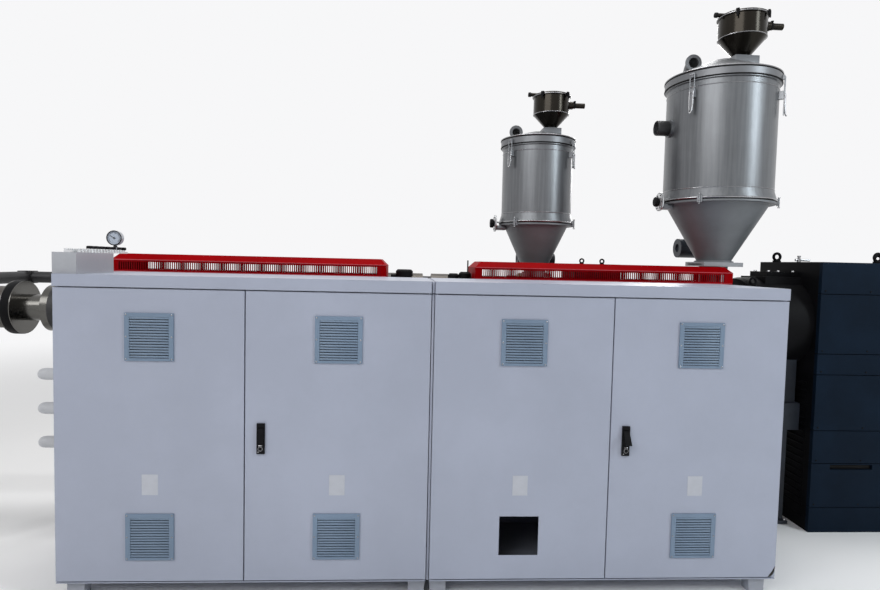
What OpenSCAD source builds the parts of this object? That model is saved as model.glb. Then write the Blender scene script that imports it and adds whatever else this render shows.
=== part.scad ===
// Plastic extruder line: two electric cabinets in front, the main extruder and a co-extruder behind them.
// X runs along the line with the die at its low end, Y runs from the cabinet doors to the back, Z is up.
// Distances along X are given from the joint between the two cabinets, along Y from the door faces.

/* [Cabinets] */
// Width of one cabinet
cabinet_w = 1592; // [1400:4:1800]
// Height of a cabinet body above its feet
cabinet_h = 1336; // [1200:4:1400]
// Depth of a cabinet from the door faces to the back sheet
cabinet_d = 600; // [450:10:640]
// Gap between the two cabinets
cabinet_gap = 16; // [12:1:30]
// Height of the tapered cabinet feet
foot_h = 80; // [50:5:100]
// Width of a cabinet foot at its top
foot_w = 76; // [50:2:100]
// Height of the fascia band above the doors
fascia_h = 52; // [30:1:90]
// How far the fascia stands proud of the doors
fascia_out = 6; // [0:1:15]
// Thickness of the cabinet sheet
sheet_t = 3; // [2:0.5:4]

/* [Doors] */
// Depth of the folded door pans
door_t = 20; // [16:1:30]
// Thickness of the door sheet
door_sheet = 2; // [1.5:0.5:3]
// Gap round each door leaf
door_gap = 5; // [5:0.5:8]
// Gap between the doors and the frame behind them
door_back_gap = 9; // [8:1:16]
// Radius of the hinge pivot pins
pivot_r = 3.5; // [3:0.5:4]
// Radial play of the pivot pins
pivot_play = 0.05; // [0.02:0.01:0.1]
// Distance of a pivot from the door's hinge edge
pivot_in = 10; // [8:1:14]

/* [Vents] */
// Outer width of a louvred vent
vent_w = 204; // [160:2:240]
// Width of the cut-out that a vent sits in
vent_cut = 177; // [140:1:200]
// Height of the upper vents' centres above the floor
vent_hi_z = 1155; // [1000:5:1180]
// Height of the lower vents' centres above the floor
vent_lo_z = 286; // [250:1:400]
// Number of louvre blades in a vent
vent_blades = 15; // [10:1:18]
// How far a vent stands proud of the door
vent_out = 6; // [3:1:12]

/* [Locks] */
// Height of the lock plates
lock_h = 133; // [120:1:150]
// Width of the lock plates
lock_w = 34; // [30:1:40]
// Height of the locks' centres above the floor
lock_z = 721; // [500:1:900]
// Angle that the right lock's lever stands out at
lever_out = 37; // [0:1:40]

/* [Barrel guards] */
// Length of one barrel guard
guard_l = 1490; // [1300:10:1500]
// Gap between the two guards, where the port caps stand
port_gap = 497; // [488:1:540]
// Width of the guards across the barrel
guard_w = 380; // [340:10:400]
// Height of the guard top above the floor
guard_top = 1510; // [1470:5:1560]
// Height of a guard from its lower edge to its top
guard_h = 500; // [480:10:520]
// Size of the sloped edges round the guard roof
guard_slope = 34; // [20:2:60]
// Sheet thickness of the guards
guard_t = 3; // [2:0.5:4]
// Height of the slotted strips
slot_h = 46; // [30:2:60]
// Width of one slot
slot_w = 7; // [5:1:8]
// Pitch of the slots
slot_pitch = 12; // [12:1:24]

/* [Main extruder] */
// Distance of the barrel axis behind the door faces
barrel_y = 945; // [900:5:1000]
// Height of the barrel axis above the floor
barrel_z = 1190; // [1150:5:1230]
// Outer radius of the barrel
barrel_r = 95; // [85:1:98]
// Outer radius of the heater bands
heater_r = 122; // [115:1:135]
// Radius of the round gearbox body
gearbox_r = 262; // [220:2:280]
// Length of the round gearbox body
gearbox_l = 340; // [280:5:420]
// Length of the drive housing
drive_l = 850; // [700:10:1000]
// Depth of the drive housing
drive_d = 596; // [500:4:700]
// Height of the drive housing
drive_h = 1551; // [1400:1:1650]

/* [Die] */
// Radius of the die body
die_r = 115; // [100:1:115]
// Length of the die body beyond its clamp ring
die_l = 330; // [200:10:400]
// Radius of the clamp ring
clamp_r = 151; // [140:1:165]
// Radius of the bright adapter neck
neck_r = 75; // [60:1:85]
// Radius of the die's outlet
outlet_r = 40; // [30:1:50]

/* [Large dryer] */
// Radius of its drum
large_r = 305; // [280:5:320]
// Height of its drum
large_drum_h = 660; // [500:10:800]
// Height of its cone
large_cone_h = 328; // [260:1:400]
// Radius of its outlet spout
large_spout_r = 98; // [90:1:104]
// Rise of its conical lid
large_lid_h = 111; // [60:1:140]

/* [Small dryer] */
// Distance of the small dryer from the joint between the cabinets
small_x = 736; // [600:4:800]
// Radius of its drum
small_r = 229; // [200:1:240]
// Height of its drum
small_drum_h = 484; // [400:4:560]
// Height of its cone
small_cone_h = 302; // [240:1:340]
// Radius of its outlet spout
small_spout_r = 70; // [60:1:78]
// Rise of its conical lid
small_lid_h = 53; // [40:1:90]

/* [Loaders] */
// Radius of the large dryer's loader
large_loader_r = 134; // [110:1:150]
// Height of the straight part of that loader
large_loader_h = 121; // [110:1:180]
// Radius of the small dryer's loader
small_loader_r = 117; // [100:1:125]
// Height of the straight part of that loader
small_loader_h = 116; // [110:1:160]
// Wall thickness of the drums, cones, lids and loaders
shell_t = 4; // [3:0.5:5]

/* [Co-extruder] */
// Distance of its axis behind the door faces
coex_y = 1400; // [1380:5:1450]
// Height of its axis above the main barrel's
coex_rise = 156; // [156:1:170]
// Outer radius of its barrel
coex_r = 60; // [50:1:62]
// Radius of the melt pipe to the die
melt_r = 36; // [28:1:36]

/* [Hidden] */

round_fn = 48;
turned_fn = 64;
small_fn = 24;
eps = 0.01;
seat = 0.3;

// Cabinets and doors
front_y = door_t + door_back_gap;
fascia_z = foot_h + cabinet_h - fascia_h;
cabinet_top = foot_h + cabinet_h;
sill_t = 4;
frame_w = 34;
lintel_h = 12;
door_w = (cabinet_w - door_gap) / 2;
door_z0 = foot_h + sill_t + door_gap;
door_h = fascia_z - door_gap - door_z0;
pivot_y = 7;
pivot_len = 22;
block_h = 30;
function cabinet_x(i) = i == 0 ? -cabinet_gap / 2 - cabinet_w : cabinet_gap / 2;
function door_x(k) = cabinet_x(floor(k / 2)) + (k % 2) * (door_w + door_gap);
function hinge_left(k) = k % 2 == 0;
function hinge_x(k) = hinge_left(k) ? door_x(k) + pivot_in : door_x(k) + door_w - pivot_in;
function vent_x(k) = door_x(k) + door_w / 2;
lock_in = 68;
function lock_x(k) = door_x(k) + lock_in;

// Main extruder
guard_z0 = guard_top - guard_h;
right_guard_x = 265;
left_guard_x = right_guard_x - port_gap - guard_l;
guard_y0 = barrel_y - guard_w / 2;
slot_top = guard_top - guard_slope - 5;
throat_half = 115;
throat_out = 20;
large_x = right_guard_x + guard_l - throat_out;
throat_x0 = large_x - throat_half;
throat_x1 = large_x + throat_half;
barrel_x0 = left_guard_x - 378;
barrel_flange_t = 40;
barrel_flange_r = heater_r + 10;
gearbox_x0 = throat_x1 + 20;
drive_x0 = gearbox_x0 + gearbox_l;
drive_x1 = drive_x0 + drive_l;
drive_y0 = barrel_y - drive_d / 2;
panel_t = 25;
neck_l = 105;
adapter_l = 80;
neck_x0 = barrel_x0 - adapter_l - neck_l;
clamp_w = 56;
clamp_x0 = neck_x0 - clamp_w;
die_x0 = clamp_x0 - die_l;
die_face_t = 30;
die_face_x = die_x0 - die_face_t;

// Co-extruder
coex_z = barrel_z + coex_rise;
coex_feed_top = coex_z + coex_r;
coex_x0 = small_x - 1436;
coex_feed_half = 90;
coex_x1 = small_x + coex_feed_half;
coex_gear_x0 = coex_x1 + 144;
coex_gear_l = 300;
coex_gear_x1 = coex_gear_x0 + coex_gear_l;

// Gates, dryers and loaders, the large one first
gate_h = 25;
gate_half = 118;
blade_h = 6;
rim_h = 42;
rim_out = 14;
duct_w = [90, 80];
duct_off = 5;
edge_t = 12;
ring_h = 26;
spout_h = 12;
outlet_rim = 12;
throat_top = [guard_top + guard_t, coex_feed_top + 10];
dryer_x = [large_x, small_x];
dryer_y = [barrel_y, coex_y];
drum_r = [large_r, small_r];
drum_h = [large_drum_h, small_drum_h];
cone_h = [large_cone_h, small_cone_h];
spout_r = [large_spout_r, small_spout_r];
lid_h = [large_lid_h, small_lid_h];
loader_r = [large_loader_r, small_loader_r];
loader_h = [large_loader_h, small_loader_h];
loader_cone_h = [113, 93];
loader_spout_r = [46, 40];
lid_flat_r = [64, 57];
loader_base_h = [22, 27];
loader_base_half = [72, 58];
loader_off = 0.358;
cone_r = [for (i = [0, 1]) drum_r[i] - 20];
gate_top = [for (i = [0, 1]) throat_top[i] + gate_h];
cone_z = [for (i = [0, 1]) gate_top[i] + spout_h];
ring_z = [for (i = [0, 1]) cone_z[i] + cone_h[i]];
drum_z = [for (i = [0, 1]) ring_z[i] + ring_h];
rim_z = [for (i = [0, 1]) drum_z[i] + drum_h[i]];
lid_z = [for (i = [0, 1]) rim_z[i] + rim_h];
lid_top = [for (i = [0, 1]) lid_z[i] + edge_t + lid_h[i]];
loader_z = [for (i = [0, 1]) lid_top[i] + loader_base_h[i]];
loader_x = [for (i = [0, 1]) dryer_x[i] + loader_off * drum_r[i]];
loader_body_z = [for (i = [0, 1]) loader_z[i] + loader_cone_h[i]];
loader_top = [for (i = [0, 1]) loader_body_z[i] + loader_h[i]];

// The whole model is centred over its footprint
lever_t = 6;
lever_l = 65;
lever_axis_y = -6.5;
line_x0 = die_face_x;
line_x1 = drive_x1;
line_y0 = lever_axis_y - lever_t * cos(lever_out) - lever_l * sin(lever_out);
line_y1 = coex_y + small_r + rim_out + duct_off + duct_w[1];
centre_x = (line_x0 + line_x1) / 2;
centre_y = (line_y0 + line_y1) / 2;
module place() translate([-centre_x, -centre_y, 0]) children();

// Helper shapes
module box(p, q) translate(p) cube([q[0] - p[0], q[1] - p[1], q[2] - p[2]]);
module rod_x(x0, x1, y, z, r, fn = round_fn)
  translate([x0, y, z]) rotate([0, 90, 0]) cylinder(r = r, h = x1 - x0, $fn = fn);
module rod_y(y0, y1, x, z, r, fn = round_fn)
  translate([x, y0, z]) rotate([-90, 0, 0]) cylinder(r = r, h = y1 - y0, $fn = fn);
module rod_z(z0, z1, x, y, r, fn = round_fn)
  translate([x, y, z0]) cylinder(r = r, h = z1 - z0, $fn = fn);

// A revolved shell between two radius and height pairs, closed by its outline
module revolve(x, y, points) translate([x, y, 0]) rotate_extrude($fn = turned_fn) polygon(points);

// A lifting eye standing on a surface
module eyebolt(x, y, z, r) {
  rod_z(z - 2, z + 0.35 * r, x, y, 0.8 * r, small_fn);
  translate([x, y, z + 1.1 * r]) rotate([90, 0, 0]) rotate_extrude($fn = small_fn)
    translate([0.72 * r, 0]) circle(0.28 * r, $fn = 14);
}

// Cabinets
module cabinet_shell(i) {
  x0 = cabinet_x(i);
  x1 = x0 + cabinet_w;
  difference() {
    union() {
      box([x0, front_y, foot_h], [x1, cabinet_d, cabinet_top]);
      box([x0, -fascia_out, fascia_z], [x1, front_y + eps, cabinet_top]);
      box([x0, 0, foot_h], [x1, front_y + eps, foot_h + sill_t]);
    }
    box([x0 + sheet_t, front_y + sheet_t, foot_h + sill_t],
        [x1 - sheet_t, cabinet_d - sheet_t, cabinet_top - sheet_t]);
    box([x0 + frame_w, front_y - 1, foot_h + frame_w],
        [x1 - frame_w, front_y + sheet_t + 1, fascia_z - lintel_h]);
    box([x0 + sheet_t, sheet_t - fascia_out, fascia_z + sheet_t],
        [x1 - sheet_t, front_y + sheet_t + 1, cabinet_top - sheet_t]);
  }
  for (k = [2 * i, 2 * i + 1]) {
    rod_z(foot_h + sill_t, door_z0 + pivot_len, hinge_x(k), pivot_y, pivot_r, small_fn);
    rod_z(fascia_z - door_gap - pivot_len, fascia_z, hinge_x(k), pivot_y, pivot_r, small_fn);
  }
}
spacer_r = 12;
spacer_y = [100, cabinet_d - 100];
spacer_z = [foot_h + 120, cabinet_top - 120];
module cabinet_left_shell() color("gainsboro") place() {
  cabinet_shell(0);
  for (y = spacer_y, z = spacer_z)
    rod_x(-cabinet_gap / 2, cabinet_gap / 2, y, z, spacer_r, small_fn);
}
module cabinet_right_shell() color("gainsboro") place() cabinet_shell(1);

foot_taper = 6;
foot_d = 60;
foot_in = 30;
foot_near = 1;
foot_far = 31;
module foot(x, y, flip) {
  a = flip ? foot_taper : 0;
  b = flip ? 0 : foot_taper;
  translate([x, y, 0]) rotate([90, 0, 0]) translate([0, 0, -foot_d]) linear_extrude(foot_d)
    polygon([[a, 0], [foot_w - b, 0], [foot_w, foot_h], [0, foot_h]]);
}
module cabinet_feet() color("whitesmoke") place()
  for (i = [0, 1], y = [foot_in, cabinet_d - foot_in - foot_d]) {
    foot(cabinet_x(i) + (i == 0 ? foot_far : foot_near), y, i == 1);
    foot(cabinet_x(i) + cabinet_w - foot_w - (i == 0 ? foot_near : foot_far), y, i == 1);
  }

plate_in = 120;
plate_t = 3;
stud_l = 39;
stud_in = 40;
stud_r = 9;
module mounting_plates() color("goldenrod") place() for (i = [0, 1]) {
  x0 = cabinet_x(i) + plate_in;
  x1 = cabinet_x(i) + cabinet_w - plate_in;
  y1 = cabinet_d - sheet_t;
  z0 = foot_h + plate_in;
  z1 = cabinet_top - plate_in;
  box([x0, y1 - stud_l - plate_t, z0], [x1, y1 - stud_l, z1]);
  for (x = [x0 + stud_in, x1 - stud_in], z = [z0 + stud_in, z1 - stud_in])
    rod_y(y1 - stud_l - eps, y1, x, z, stud_r, small_fn);
}

lock_lip = 4;
lock_end = 12;
module door(k, lock, vents) {
  x0 = door_x(k);
  difference() {
    union() {
      difference() {
        box([x0, 0, door_z0], [x0 + door_w, door_t, door_z0 + door_h]);
        box([x0 + door_sheet, door_sheet, door_z0 + door_sheet],
            [x0 + door_w - door_sheet, door_t + 1, door_z0 + door_h - door_sheet]);
      }
      for (z = [door_z0, door_z0 + door_h - block_h])
        box([hinge_x(k) - pivot_in, 0, z], [hinge_x(k) + pivot_in, door_t, z + block_h]);
    }
    for (z = [door_z0 - 1, door_z0 + door_h - pivot_len - 1])
      rod_z(z, z + pivot_len + 2, hinge_x(k), pivot_y, pivot_r + pivot_play, small_fn);
    for (z = vents)
      box([vent_x(k) - vent_cut / 2, -1, z - vent_cut / 2],
          [vent_x(k) + vent_cut / 2, door_sheet + 1, z + vent_cut / 2]);
    if (lock)
      box([lock_x(k) - lock_w / 2 + lock_lip, -1, lock_z - lock_h / 2 + lock_end],
          [lock_x(k) + lock_w / 2 - lock_lip, door_sheet + 1, lock_z + lock_h / 2 - lock_end]);
  }
}
module door_1() color("gainsboro") place() door(0, false, [vent_lo_z, vent_hi_z]);
module door_2() color("gainsboro") place() door(1, true, [vent_lo_z, vent_hi_z]);
module door_3() color("gainsboro") place() door(2, false, [vent_lo_z, vent_hi_z]);
// The last door's lower outer corner is bent away
bent_w = 34;
bent_h = 53;
module door_4() color("gainsboro") place() difference() {
  door(3, true, [vent_lo_z, vent_hi_z]);
  translate([door_x(3) + door_w, door_sheet, door_z0]) rotate([90, 0, 0]) linear_extrude(door_sheet + 1)
    polygon([[-bent_w, 0], [-bent_w, -1], [1, -1], [1, bent_h], [0, bent_h], [-0.45 * bent_w, 0.5 * bent_h]]);
}

vent_side = 20;
vent_head = 17;
vent_foot = 11;
collar_t = 4;
collar_d = 10;
blade_w = 14;
blade_t = 1.5;
blade_tilt = 15;
module vent(k, z) translate([vent_x(k), 0, z]) {
  half = vent_w / 2;
  collar = vent_cut / 2 - seat;
  inner = half - vent_side;
  low = vent_foot - half;
  pitch = (vent_w - vent_head - vent_foot) / vent_blades;
  difference() {
    union() {
      box([-half, -vent_out, -half], [half, 0, half]);
      box([-collar, -eps, -collar], [collar, collar_d, collar]);
    }
    box([-inner, -vent_out - 1, low], [inner, 0, half - vent_head]);
    box([-inner, -1, collar_t - collar], [inner, collar_d + 1, half - vent_head]);
  }
  for (n = [0:vent_blades - 1])
    translate([-inner - 1, 1.5 - vent_out, low + (n + 0.35) * pitch]) rotate([blade_tilt, 0, 0])
      cube([2 * inner + 2, blade_w, blade_t]);
}
module door_1_vents() color("lightsteelblue") place() for (z = [vent_lo_z, vent_hi_z]) vent(0, z);
module door_2_vents() color("lightsteelblue") place() for (z = [vent_lo_z, vent_hi_z]) vent(1, z);
module door_3_vent() color("lightsteelblue") place() vent(2, vent_hi_z);
module door_4_vents() color("lightsteelblue") place() for (z = [vent_lo_z, vent_hi_z]) vent(3, z);

// Locks
lock_out = 9;
lock_d = 16;
lever_w = 26;
lever_gap = 0.8;
lever_slot_y = -2;
lever_z = lock_z + lock_h / 2 - 25;
lever_hub_r = 4.2;
lock_pin_r = 2.5;
lock_pin_out = 3;
button_r = 9.5;
button_out = 5;
button_z = lock_z - lock_h / 2 + 24;
module lock_plate(k) {
  x = lock_x(k);
  pin = lever_w / 2 + lock_pin_out + 0.5;
  difference() {
    union() {
      box([x - lock_w / 2, -lock_out, lock_z - lock_h / 2], [x + lock_w / 2, 0, lock_z + lock_h / 2]);
      box([x - lock_w / 2 + lock_lip + seat, -eps, lock_z - lock_h / 2 + lock_end + seat],
          [x + lock_w / 2 - lock_lip - seat, lock_d, lock_z + lock_h / 2 - lock_end - seat]);
      rod_y(-lock_out - button_out, -eps, x, button_z, button_r, small_fn);
    }
    box([x - lever_w / 2 - lever_gap, -lock_out - 1, lever_z - lever_l - 3],
        [x + lever_w / 2 + lever_gap, lever_slot_y, lever_z + 8]);
    rod_x(x - pin, x + pin, lever_axis_y, lever_z, lock_pin_r + pivot_play, small_fn);
    rod_y(-lock_out - button_out - 1, -lock_out - button_out + 2, x, button_z, button_r - 4, small_fn);
  }
}
module lock_lever(k, angle) {
  half = lever_w / 2;
  translate([lock_x(k), lever_axis_y, lever_z]) rotate([-angle, 0, 0]) {
    rod_x(-half - lock_pin_out, half + lock_pin_out, 0, 0, lock_pin_r, small_fn);
    rod_x(-half, half, 0, 0, lever_hub_r, small_fn);
    box([-half, -lever_t, -lever_l], [half, 0, 0]);
  }
}
module left_lock_plate() color("dimgray") place() lock_plate(1);
module right_lock_plate() color("dimgray") place() lock_plate(3);
module left_lock_lever() color("black") place() lock_lever(1, 0);
module right_lock_lever() color("black") place() lock_lever(3, lever_out);

// Trunking, air valves, gauge and plugs at the die end of the cabinets
trunk_x = cabinet_x(0) - 12;
trunk_w = 100;
trunk_h = 91;
trunk_t = 2;
trunk_y0 = 20;
trunk_l = 323;
trunk_y1 = trunk_y0 + trunk_l;
trunk_top = cabinet_top + trunk_h;
valve_x = trunk_x + trunk_w / 2;
valve_y0 = 229;
valve_pitch = 53;
valves = 7;
valve_r = 10;
valve_h = 8;
knob_r = 14.5;
knob_h = 14;
manifold_h = 9;
manifold_half = 11;
manifold_y = [45, 575];
manifold_top = trunk_top + manifold_h;
knob_z = manifold_top + valve_h;
module top_trunking() color("silver") place() difference() {
  box([trunk_x, trunk_y0, cabinet_top], [trunk_x + trunk_w, trunk_y1, trunk_top]);
  box([trunk_x + trunk_t, trunk_y0 + trunk_t, cabinet_top + trunk_t],
      [trunk_x + trunk_w - trunk_t, trunk_y1 + 1, trunk_top - trunk_t]);
}
module air_manifold() color("silver") place() {
  box([valve_x - manifold_half, manifold_y[0], trunk_top],
      [valve_x + manifold_half, manifold_y[1], manifold_top]);
  for (n = [0:valves - 1])
    rod_z(manifold_top - eps, knob_z, valve_x, valve_y0 + n * valve_pitch, valve_r, small_fn);
}
module valve_knobs() color("black") place() for (n = [0:valves - 1])
  rod_z(knob_z, knob_z + knob_h, valve_x, valve_y0 + n * valve_pitch, knob_r, small_fn);
gauge_r = 36;
gauge_half_t = 14;
gauge_rim = 4;
gauge_y = valve_y0 + 4.5 * valve_pitch;
gauge_z = trunk_top + 76;
gauge_stem_r = 7;
module pressure_gauge() color("whitesmoke") place() {
  difference() {
    rod_y(gauge_y - gauge_half_t, gauge_y + gauge_half_t, valve_x, gauge_z, gauge_r);
    rod_y(gauge_y - gauge_half_t - 1, gauge_y - gauge_half_t + 3, valve_x, gauge_z, gauge_r - gauge_rim);
  }
  rod_z(manifold_top, gauge_z - gauge_r + 2, valve_x, gauge_y, gauge_stem_r, small_fn);
}
plug_y = 120;
plug_z = [664, 816, 968];
plug_r = 26;
plug_l = 88;
grip_r = 17;
grip_l = 25;
socket_half = 33;
socket_out = 22;
flap_h = 14;
flap_out = 46;
socket_x = cabinet_x(0) - socket_out;
module plug_sockets() color("royalblue") place() for (z = plug_z) {
  box([socket_x, plug_y - socket_half, z - socket_half],
      [cabinet_x(0), plug_y + socket_half, z + socket_half]);
  box([cabinet_x(0) - flap_out, plug_y - plug_r, z + plug_r + 3],
      [cabinet_x(0), plug_y + plug_r, z + plug_r + flap_h]);
}
module plug_connectors() color("whitesmoke") place() for (z = plug_z) {
  rod_x(socket_x - plug_l, socket_x, plug_y, z, plug_r);
  rod_x(socket_x - plug_l - grip_l, socket_x - plug_l + eps, plug_y, z, grip_r);
}

// Frames: rails on legs, joined by crosspieces that the barrel's supports stand on
beam_z0 = 560;
beam_h = 160;
beam_w = 80;
beam_off = 130;
beam_top = beam_z0 + beam_h;
cross_lift = 20;
cross_h = 100;
cross_half = 40;
cross_top = beam_z0 + cross_lift + cross_h;
leg_w = 100;
legs = 5;
leg_first = left_guard_x - 68;
leg_last = drive_x0 - 120;
leg_x = [for (k = [0:legs - 1]) leg_first + k * (leg_last - leg_first) / (legs - 1)];
plate_out = 20;
floor_plate_t = 20;
heater_l = 170;
heater_pitch = 245;
heater_in = 30;
function heaters(l) = floor((l - heater_in + heater_pitch - heater_l) / heater_pitch);
left_heaters = heaters(guard_l);
right_heaters = heaters(guard_l - throat_out - throat_half);
heater_x = concat([barrel_x0 + 70],
                  [for (k = [0:left_heaters - 1]) left_guard_x + heater_in + k * heater_pitch],
                  [for (k = [0:right_heaters - 1]) right_guard_x + heater_in + k * heater_pitch]);
mid_gap = heater_in + 2.5 * heater_pitch + heater_l / 2;
saddle_x = [leg_first, left_guard_x + mid_gap, right_guard_x - 245, right_guard_x + mid_gap];
saddle_half = 25;
saddle_deep = 60;
throat_foot = 55;
pedestal_in = 20;
pedestal_deep = 150;
post_half = 20;
post_x = [for (g = [left_guard_x, right_guard_x], f = [0.06, 0.5, 0.9]) g + f * guard_l];
post_y = [for (s = [-1, 1]) barrel_y + s * (guard_w / 2 - 22)];
coex_beam_top = 700;
coex_beam_h = 120;
coex_beam_z0 = coex_beam_top - coex_beam_h;
coex_beam_w = 70;
coex_off = 100;
coex_leg_w = 80;
coex_legs = 4;
coex_leg_first = coex_x0 + 140;
coex_leg_last = coex_gear_x1 + 230;
coex_leg_x = [for (k = [0:coex_legs - 1])
  coex_leg_first + k * (coex_leg_last - coex_leg_first) / (coex_legs - 1)];
coex_cross_top = coex_beam_top - cross_lift;
coex_cross_h = 80;
coex_saddle_x = [coex_x0 + 200, small_x - 316];
coex_saddle_deep = 45;
module rails(x0, x1, y, off, w, z0, z1) for (s = [-1, 1])
  box([x0, y + s * off - w / 2, z0], [x1, y + s * off + w / 2, z1]);
module crosspieces(xs, y, off, z0, z1) for (x = xs)
  box([x - cross_half, y - off, z0], [x + cross_half, y + off, z1]);
// A closed cable duct joins the back of each cabinet to the frame
link_x = [for (i = [0, 1]) cabinet_x(i) + cabinet_w / 2];
link_half = 60;
link_lift = 30;
link_h = 80;
module base_frame() color("slategray") place() {
  rails(leg_first - leg_w / 2, drive_x0, barrel_y, beam_off, beam_w, beam_z0, beam_top);
  crosspieces(concat(leg_x, [saddle_x[1], saddle_x[2], saddle_x[3], large_x]),
              barrel_y, beam_off, beam_z0 + cross_lift, cross_top);
  for (i = [0, 1]) box([link_x[i] - link_half, cabinet_d, beam_z0 + link_lift],
                       [link_x[i] + link_half, barrel_y - beam_off, beam_z0 + link_lift + link_h]);
}
module coextruder_frame() color("slategray") place() {
  rails(coex_leg_first - coex_leg_w / 2, coex_leg_last + coex_leg_w / 2, coex_y, coex_off, coex_beam_w,
        coex_beam_z0, coex_beam_top);
  crosspieces(concat(coex_leg_x, coex_saddle_x), coex_y, coex_off,
              coex_cross_top - coex_cross_h, coex_cross_top);
}
module leg(x, y, l, w, h, out) {
  box([x - l / 2, y - w / 2, 0], [x + l / 2, y + w / 2, h]);
  box([x - l / 2 - out, y - w / 2 - out, 0], [x + l / 2 + out, y + w / 2 + out, floor_plate_t]);
}
module machine_legs() color("slategray") place() for (s = [-1, 1]) {
  for (x = leg_x) leg(x, barrel_y + s * beam_off, leg_w, beam_w, beam_z0, plate_out);
  for (x = coex_leg_x) leg(x, coex_y + s * coex_off, coex_leg_w, coex_beam_w, coex_beam_z0, plate_out - 5);
}
module guard_posts() color("slategray") place() for (x = post_x, y = post_y)
  box([x - post_half, y - post_half, beam_top], [x + post_half, y + post_half, guard_z0]);
module barrel_supports() color("slategray") place() {
  difference() {
    union() {
      for (x = saddle_x)
        box([x - saddle_half, barrel_y - saddle_deep, cross_top],
            [x + saddle_half, barrel_y + saddle_deep, barrel_z - 40]);
      box([large_x - throat_foot, barrel_y - saddle_deep, cross_top],
          [large_x + throat_foot, barrel_y + saddle_deep, barrel_z - throat_half]);
      box([gearbox_x0 + pedestal_in, barrel_y - pedestal_deep, beam_top],
          [drive_x0 - pedestal_in, barrel_y + pedestal_deep, barrel_z - gearbox_r + 60]);
    }
    rod_x(barrel_x0, throat_x0, barrel_y, barrel_z, barrel_r + seat);
    rod_x(gearbox_x0, drive_x0, barrel_y, barrel_z, gearbox_r + seat, turned_fn);
  }
  difference() {
    for (x = coex_saddle_x)
      box([x - saddle_half, coex_y - coex_saddle_deep, coex_cross_top],
          [x + saddle_half, coex_y + coex_saddle_deep, coex_z - 20]);
    rod_x(coex_x0, coex_x1, coex_y, coex_z, coex_r + seat);
  }
}
module barrel() color("dimgray") place() {
  rod_x(barrel_x0, throat_x0, barrel_y, barrel_z, barrel_r);
  rod_x(barrel_x0, barrel_x0 + barrel_flange_t, barrel_y, barrel_z, barrel_flange_r);
}
module heater_bands() color("silver") place() for (x = heater_x) difference() {
  rod_x(x, x + heater_l, barrel_y, barrel_z, heater_r);
  rod_x(x - 1, x + heater_l + 1, barrel_y, barrel_z, barrel_r + seat);
}
melt_x0 = die_x0 + 120;
melt_block = melt_r + 4;
die_port_top = coex_z - melt_block;
die_port_r = 52;
die_bolts = 8;
die_pcd = 190;
die_bolt_r = 7;
bolt_depth = 30;
outlet_depth = 230;
module die_head() color("silver") place() difference() {
  union() {
    rod_x(barrel_x0 - 38, barrel_x0, barrel_y, barrel_z, barrel_flange_r);
    rod_x(neck_x0, barrel_x0 - 30, barrel_y, barrel_z, neck_r);
    rod_x(clamp_x0, neck_x0 + eps, barrel_y, barrel_z, clamp_r);
    rod_x(die_x0, clamp_x0 + eps, barrel_y, barrel_z, die_r);
    rod_x(die_face_x, die_x0 + eps, barrel_y, barrel_z, die_r + 8);
    rod_z(barrel_z, die_port_top, melt_x0, barrel_y, die_port_r);
  }
  rod_x(die_face_x - 1, die_face_x + outlet_depth, barrel_y, barrel_z, outlet_r);
  for (n = [0:die_bolts - 1]) rotate_about_x((n + 0.5) * 360 / die_bolts)
    rod_x(die_face_x - 1, die_face_x + bolt_depth, barrel_y, barrel_z + die_pcd / 2, die_bolt_r, small_fn);
}
module rotate_about_x(a)
  translate([0, barrel_y, barrel_z]) rotate([a, 0, 0]) translate([0, -barrel_y, -barrel_z]) children();

// Guards: a box with a hipped roof, hollow and open below
module hood(x0, w0, l, t) {
  z1 = guard_top - t;
  zs = z1 - guard_slope;
  g = guard_slope;
  a = [x0 + t, guard_y0 + t];
  b = [x0 + l - t, guard_y0 + guard_w - t];
  polyhedron(
    points = [
      [a[0], a[1], w0], [b[0], a[1], w0], [b[0], b[1], w0], [a[0], b[1], w0],
      [a[0], a[1], zs], [b[0], a[1], zs], [b[0], b[1], zs], [a[0], b[1], zs],
      [a[0] + g, a[1] + g, z1], [b[0] - g, a[1] + g, z1], [b[0] - g, b[1] - g, z1], [a[0] + g, b[1] - g, z1]
    ],
    faces = [
      [0, 1, 2, 3], [8, 11, 10, 9],
      [0, 4, 5, 1], [1, 5, 6, 2], [2, 6, 7, 3], [3, 7, 4, 0],
      [4, 8, 9, 5], [5, 9, 10, 6], [6, 10, 11, 7], [7, 11, 8, 4]
    ]);
}
strip_in = 30;
strip_edge = 10;
strip_z0 = slot_top - slot_h - 6;
barrel_gap = 20;
riser_gap = 95;
module guard(x0) difference() {
  hood(x0, guard_z0, guard_l, 0);
  hood(x0, guard_z0 - 1, guard_l, guard_t);
  box([x0 + strip_in, guard_y0 - 1, strip_z0],
      [x0 + guard_l - strip_in, guard_y0 + guard_w + 1, slot_top - 2]);
  box([x0 - 5, barrel_y - heater_r - barrel_gap, guard_z0 - 1],
      [x0 + guard_l + 5, barrel_y + heater_r + barrel_gap, barrel_z + heater_r + barrel_gap]);
}
module left_guard() color("firebrick") place() guard(left_guard_x);
module right_guard() color("firebrick") place() difference() {
  guard(right_guard_x);
  box([large_x - riser_gap, barrel_y - riser_gap, barrel_z],
      [right_guard_x + guard_l + 5, barrel_y + riser_gap, guard_top + 1]);
}
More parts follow.
